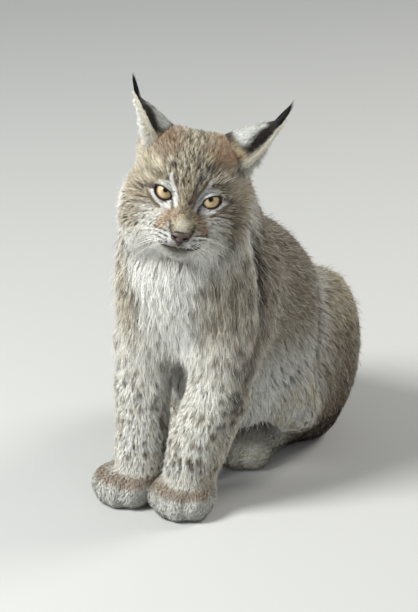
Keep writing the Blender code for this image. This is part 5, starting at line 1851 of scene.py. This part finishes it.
def add_mouth():
    """The dark lips along the line of the mouth, and the cleft between the nose and the mouth."""
    count = 60
    share = np.linspace(0, len(MOUTH) - 1, count)
    path = np.stack([np.interp(share, np.arange(len(MOUTH)), MOUTH[:, axis]) for axis in range(3)], axis=1)
    path = smooth_line(path, 4)
    path = settled(uncut_skin, from_head(path), 3)
    ends = np.minimum(np.arange(count), np.arange(count - 1, -1, -1)) / 14.0
    lips = tube(path, 0.00030 + 0.0010 * np.clip(ends, 0, 1))
    cleft = from_head([(0, -0.0860, -0.0440), (0, -0.0830, -0.0490), (0, -0.0790, -0.0542)])
    cleft = settled(uncut_skin, cleft, 3)
    points, faces = joined([lips, tube(cleft, (0.0008, 0.0007, 0.0007))])
    material = plain_material("lips", srgb(40, 28, 25), 0.45, 0.3)
    mesh = mesh_from("lips", points, faces, None, head_places(points, faces))
    add_object("lips", mesh, material, "coat_face")


def smooth_line(line, rounds):
    for _ in range(rounds):
        line[1:-1] = (line[:-2] + 2 * line[1:-1] + line[2:]) / 4
    return line


def whisker(root, direction, length, droop, radius):
    share = np.linspace(0, 1, 9)[:, None]
    direction = unit(direction)
    line = root + direction * length * share + np.array((0, 0, -droop * length)) * share**2
    return tube(line, radius * (1.02 - share[:, 0]) ** 0.7, 5)


def add_whiskers():
    made = []
    for sign in SIDES.values():
        for row in range(4):
            for column in range(4):
                place = (0.0150 + 0.0042 * column, -0.0800 + 0.0036 * column, -0.0350 - 0.0038 * row)
                root = settled(uncut_skin, from_head([mirrored(place, sign)]), 3)[0]
                aim = np.array((sign * (0.95 + 0.05 * column), 0.10 + 0.16 * column, 0.06 - 0.17 * row))
                aim = aim + DICE.normal(0, 0.06, 3)
                made.append(whisker(root, HEAD_TURN @ aim, DICE.uniform(0.026, 0.046), 0.25, 0.00022))
        for number in range(4):
            place = (0.0270 + 0.004 * number, -0.0600, 0.0270 + 0.0010 * number)
            root = settled(uncut_skin, from_head([mirrored(place, sign)]), 3)[0]
            aim = np.array((sign * (0.30 + 0.18 * number), -0.35, 0.85)) + DICE.normal(0, 0.05, 3)
            made.append(whisker(root, HEAD_TURN @ aim, DICE.uniform(0.018, 0.028), 0.10, 0.00016))
    points, faces = joined(made)
    material = plain_material("whisker", srgb(236, 232, 224), 0.4, 0.0)
    mesh = mesh_from("whiskers", points, faces, None, head_places(points, faces))
    add_object("whiskers", mesh, material, "coat_face")


# The studio.
def add_area(name, place, target, size, power, colour):
    data = bpy.data.lights.new(name, "AREA")
    data.shape = "DISK"
    data.size = size
    data.energy = power
    data.color = colour
    light = bpy.data.objects.new(name, data)
    bpy.context.scene.collection.objects.link(light)
    light.location = place
    light.rotation_euler = (Vector(target) - Vector(place)).to_track_quat("-Z", "Y").to_euler()


def add_studio():
    bpy.context.scene.view_settings.view_transform = "Standard"
    mesh = bpy.data.meshes.new("floor")
    mesh.from_pydata([(-8, -8, 0), (8, -8, 0), (8, 8, 0), (-8, 8, 0)], [], [(0, 1, 2, 3)])
    floor = bpy.data.objects.new("floor", mesh)
    bpy.context.scene.collection.objects.link(floor)
    material, _, _, _ = principled("floor", Base_Color=FLOOR_COLOUR, Roughness=0.9)
    mesh.materials.append(material)
    world = bpy.data.worlds.new("studio")
    world.use_nodes = True
    sky = world.node_tree.nodes["Background"]
    sky.inputs["Color"].default_value = SKY_COLOUR
    sky.inputs["Strength"].default_value = SKY_STRENGTH
    bpy.context.scene.world = world
    for name, lamp in LAMPS.items():
        add_area(name, *lamp)


def add_camera():
    """The photograph's own camera: far off, and shifted so that a paw is where it was."""
    azimuth, height = CAMERA_AZIMUTH, CAMERA_HEIGHT
    towards = Vector((math.sin(azimuth) * math.cos(height), -math.cos(azimuth) * math.cos(height),
                      math.sin(height)))
    right = Vector((math.cos(azimuth), math.sin(azimuth), 0.0))
    up = towards.cross(right)
    middle = Vector(SHIFT) + right * ((PICTURE[0] / 2 - PAW_PIXEL[0]) * PIXEL)
    middle += up * ((PAW_PIXEL[1] - PICTURE[1] / 2) * PIXEL)
    data = bpy.data.cameras.new("camera")
    data.sensor_fit = "VERTICAL"
    data.sensor_height = 36.0
    data.lens = 36.0 * CAMERA_DISTANCE / (PICTURE[1] * PIXEL)
    data.clip_end = 50.0
    camera = bpy.data.objects.new("camera", data)
    bpy.context.scene.collection.objects.link(camera)
    turn = Matrix((right, up, towards)).transposed().to_4x4()
    camera.matrix_world = Matrix.Translation(middle + towards * CAMERA_DISTANCE) @ turn
    bpy.context.scene.camera = camera


def main():
    surfaces = skin_surfaces()
    add_skin(surfaces)
    materials = add_fur(surfaces)
    add_ears(coat_material("coat_ear", 0.7))
    ball = eye_material()
    for side in SIDES:
        add_eye(side, ball)
        add_lids(side, materials["coat_face"])
    add_nose()
    add_mouth()
    add_whiskers()
    add_studio()
    add_camera()


main()
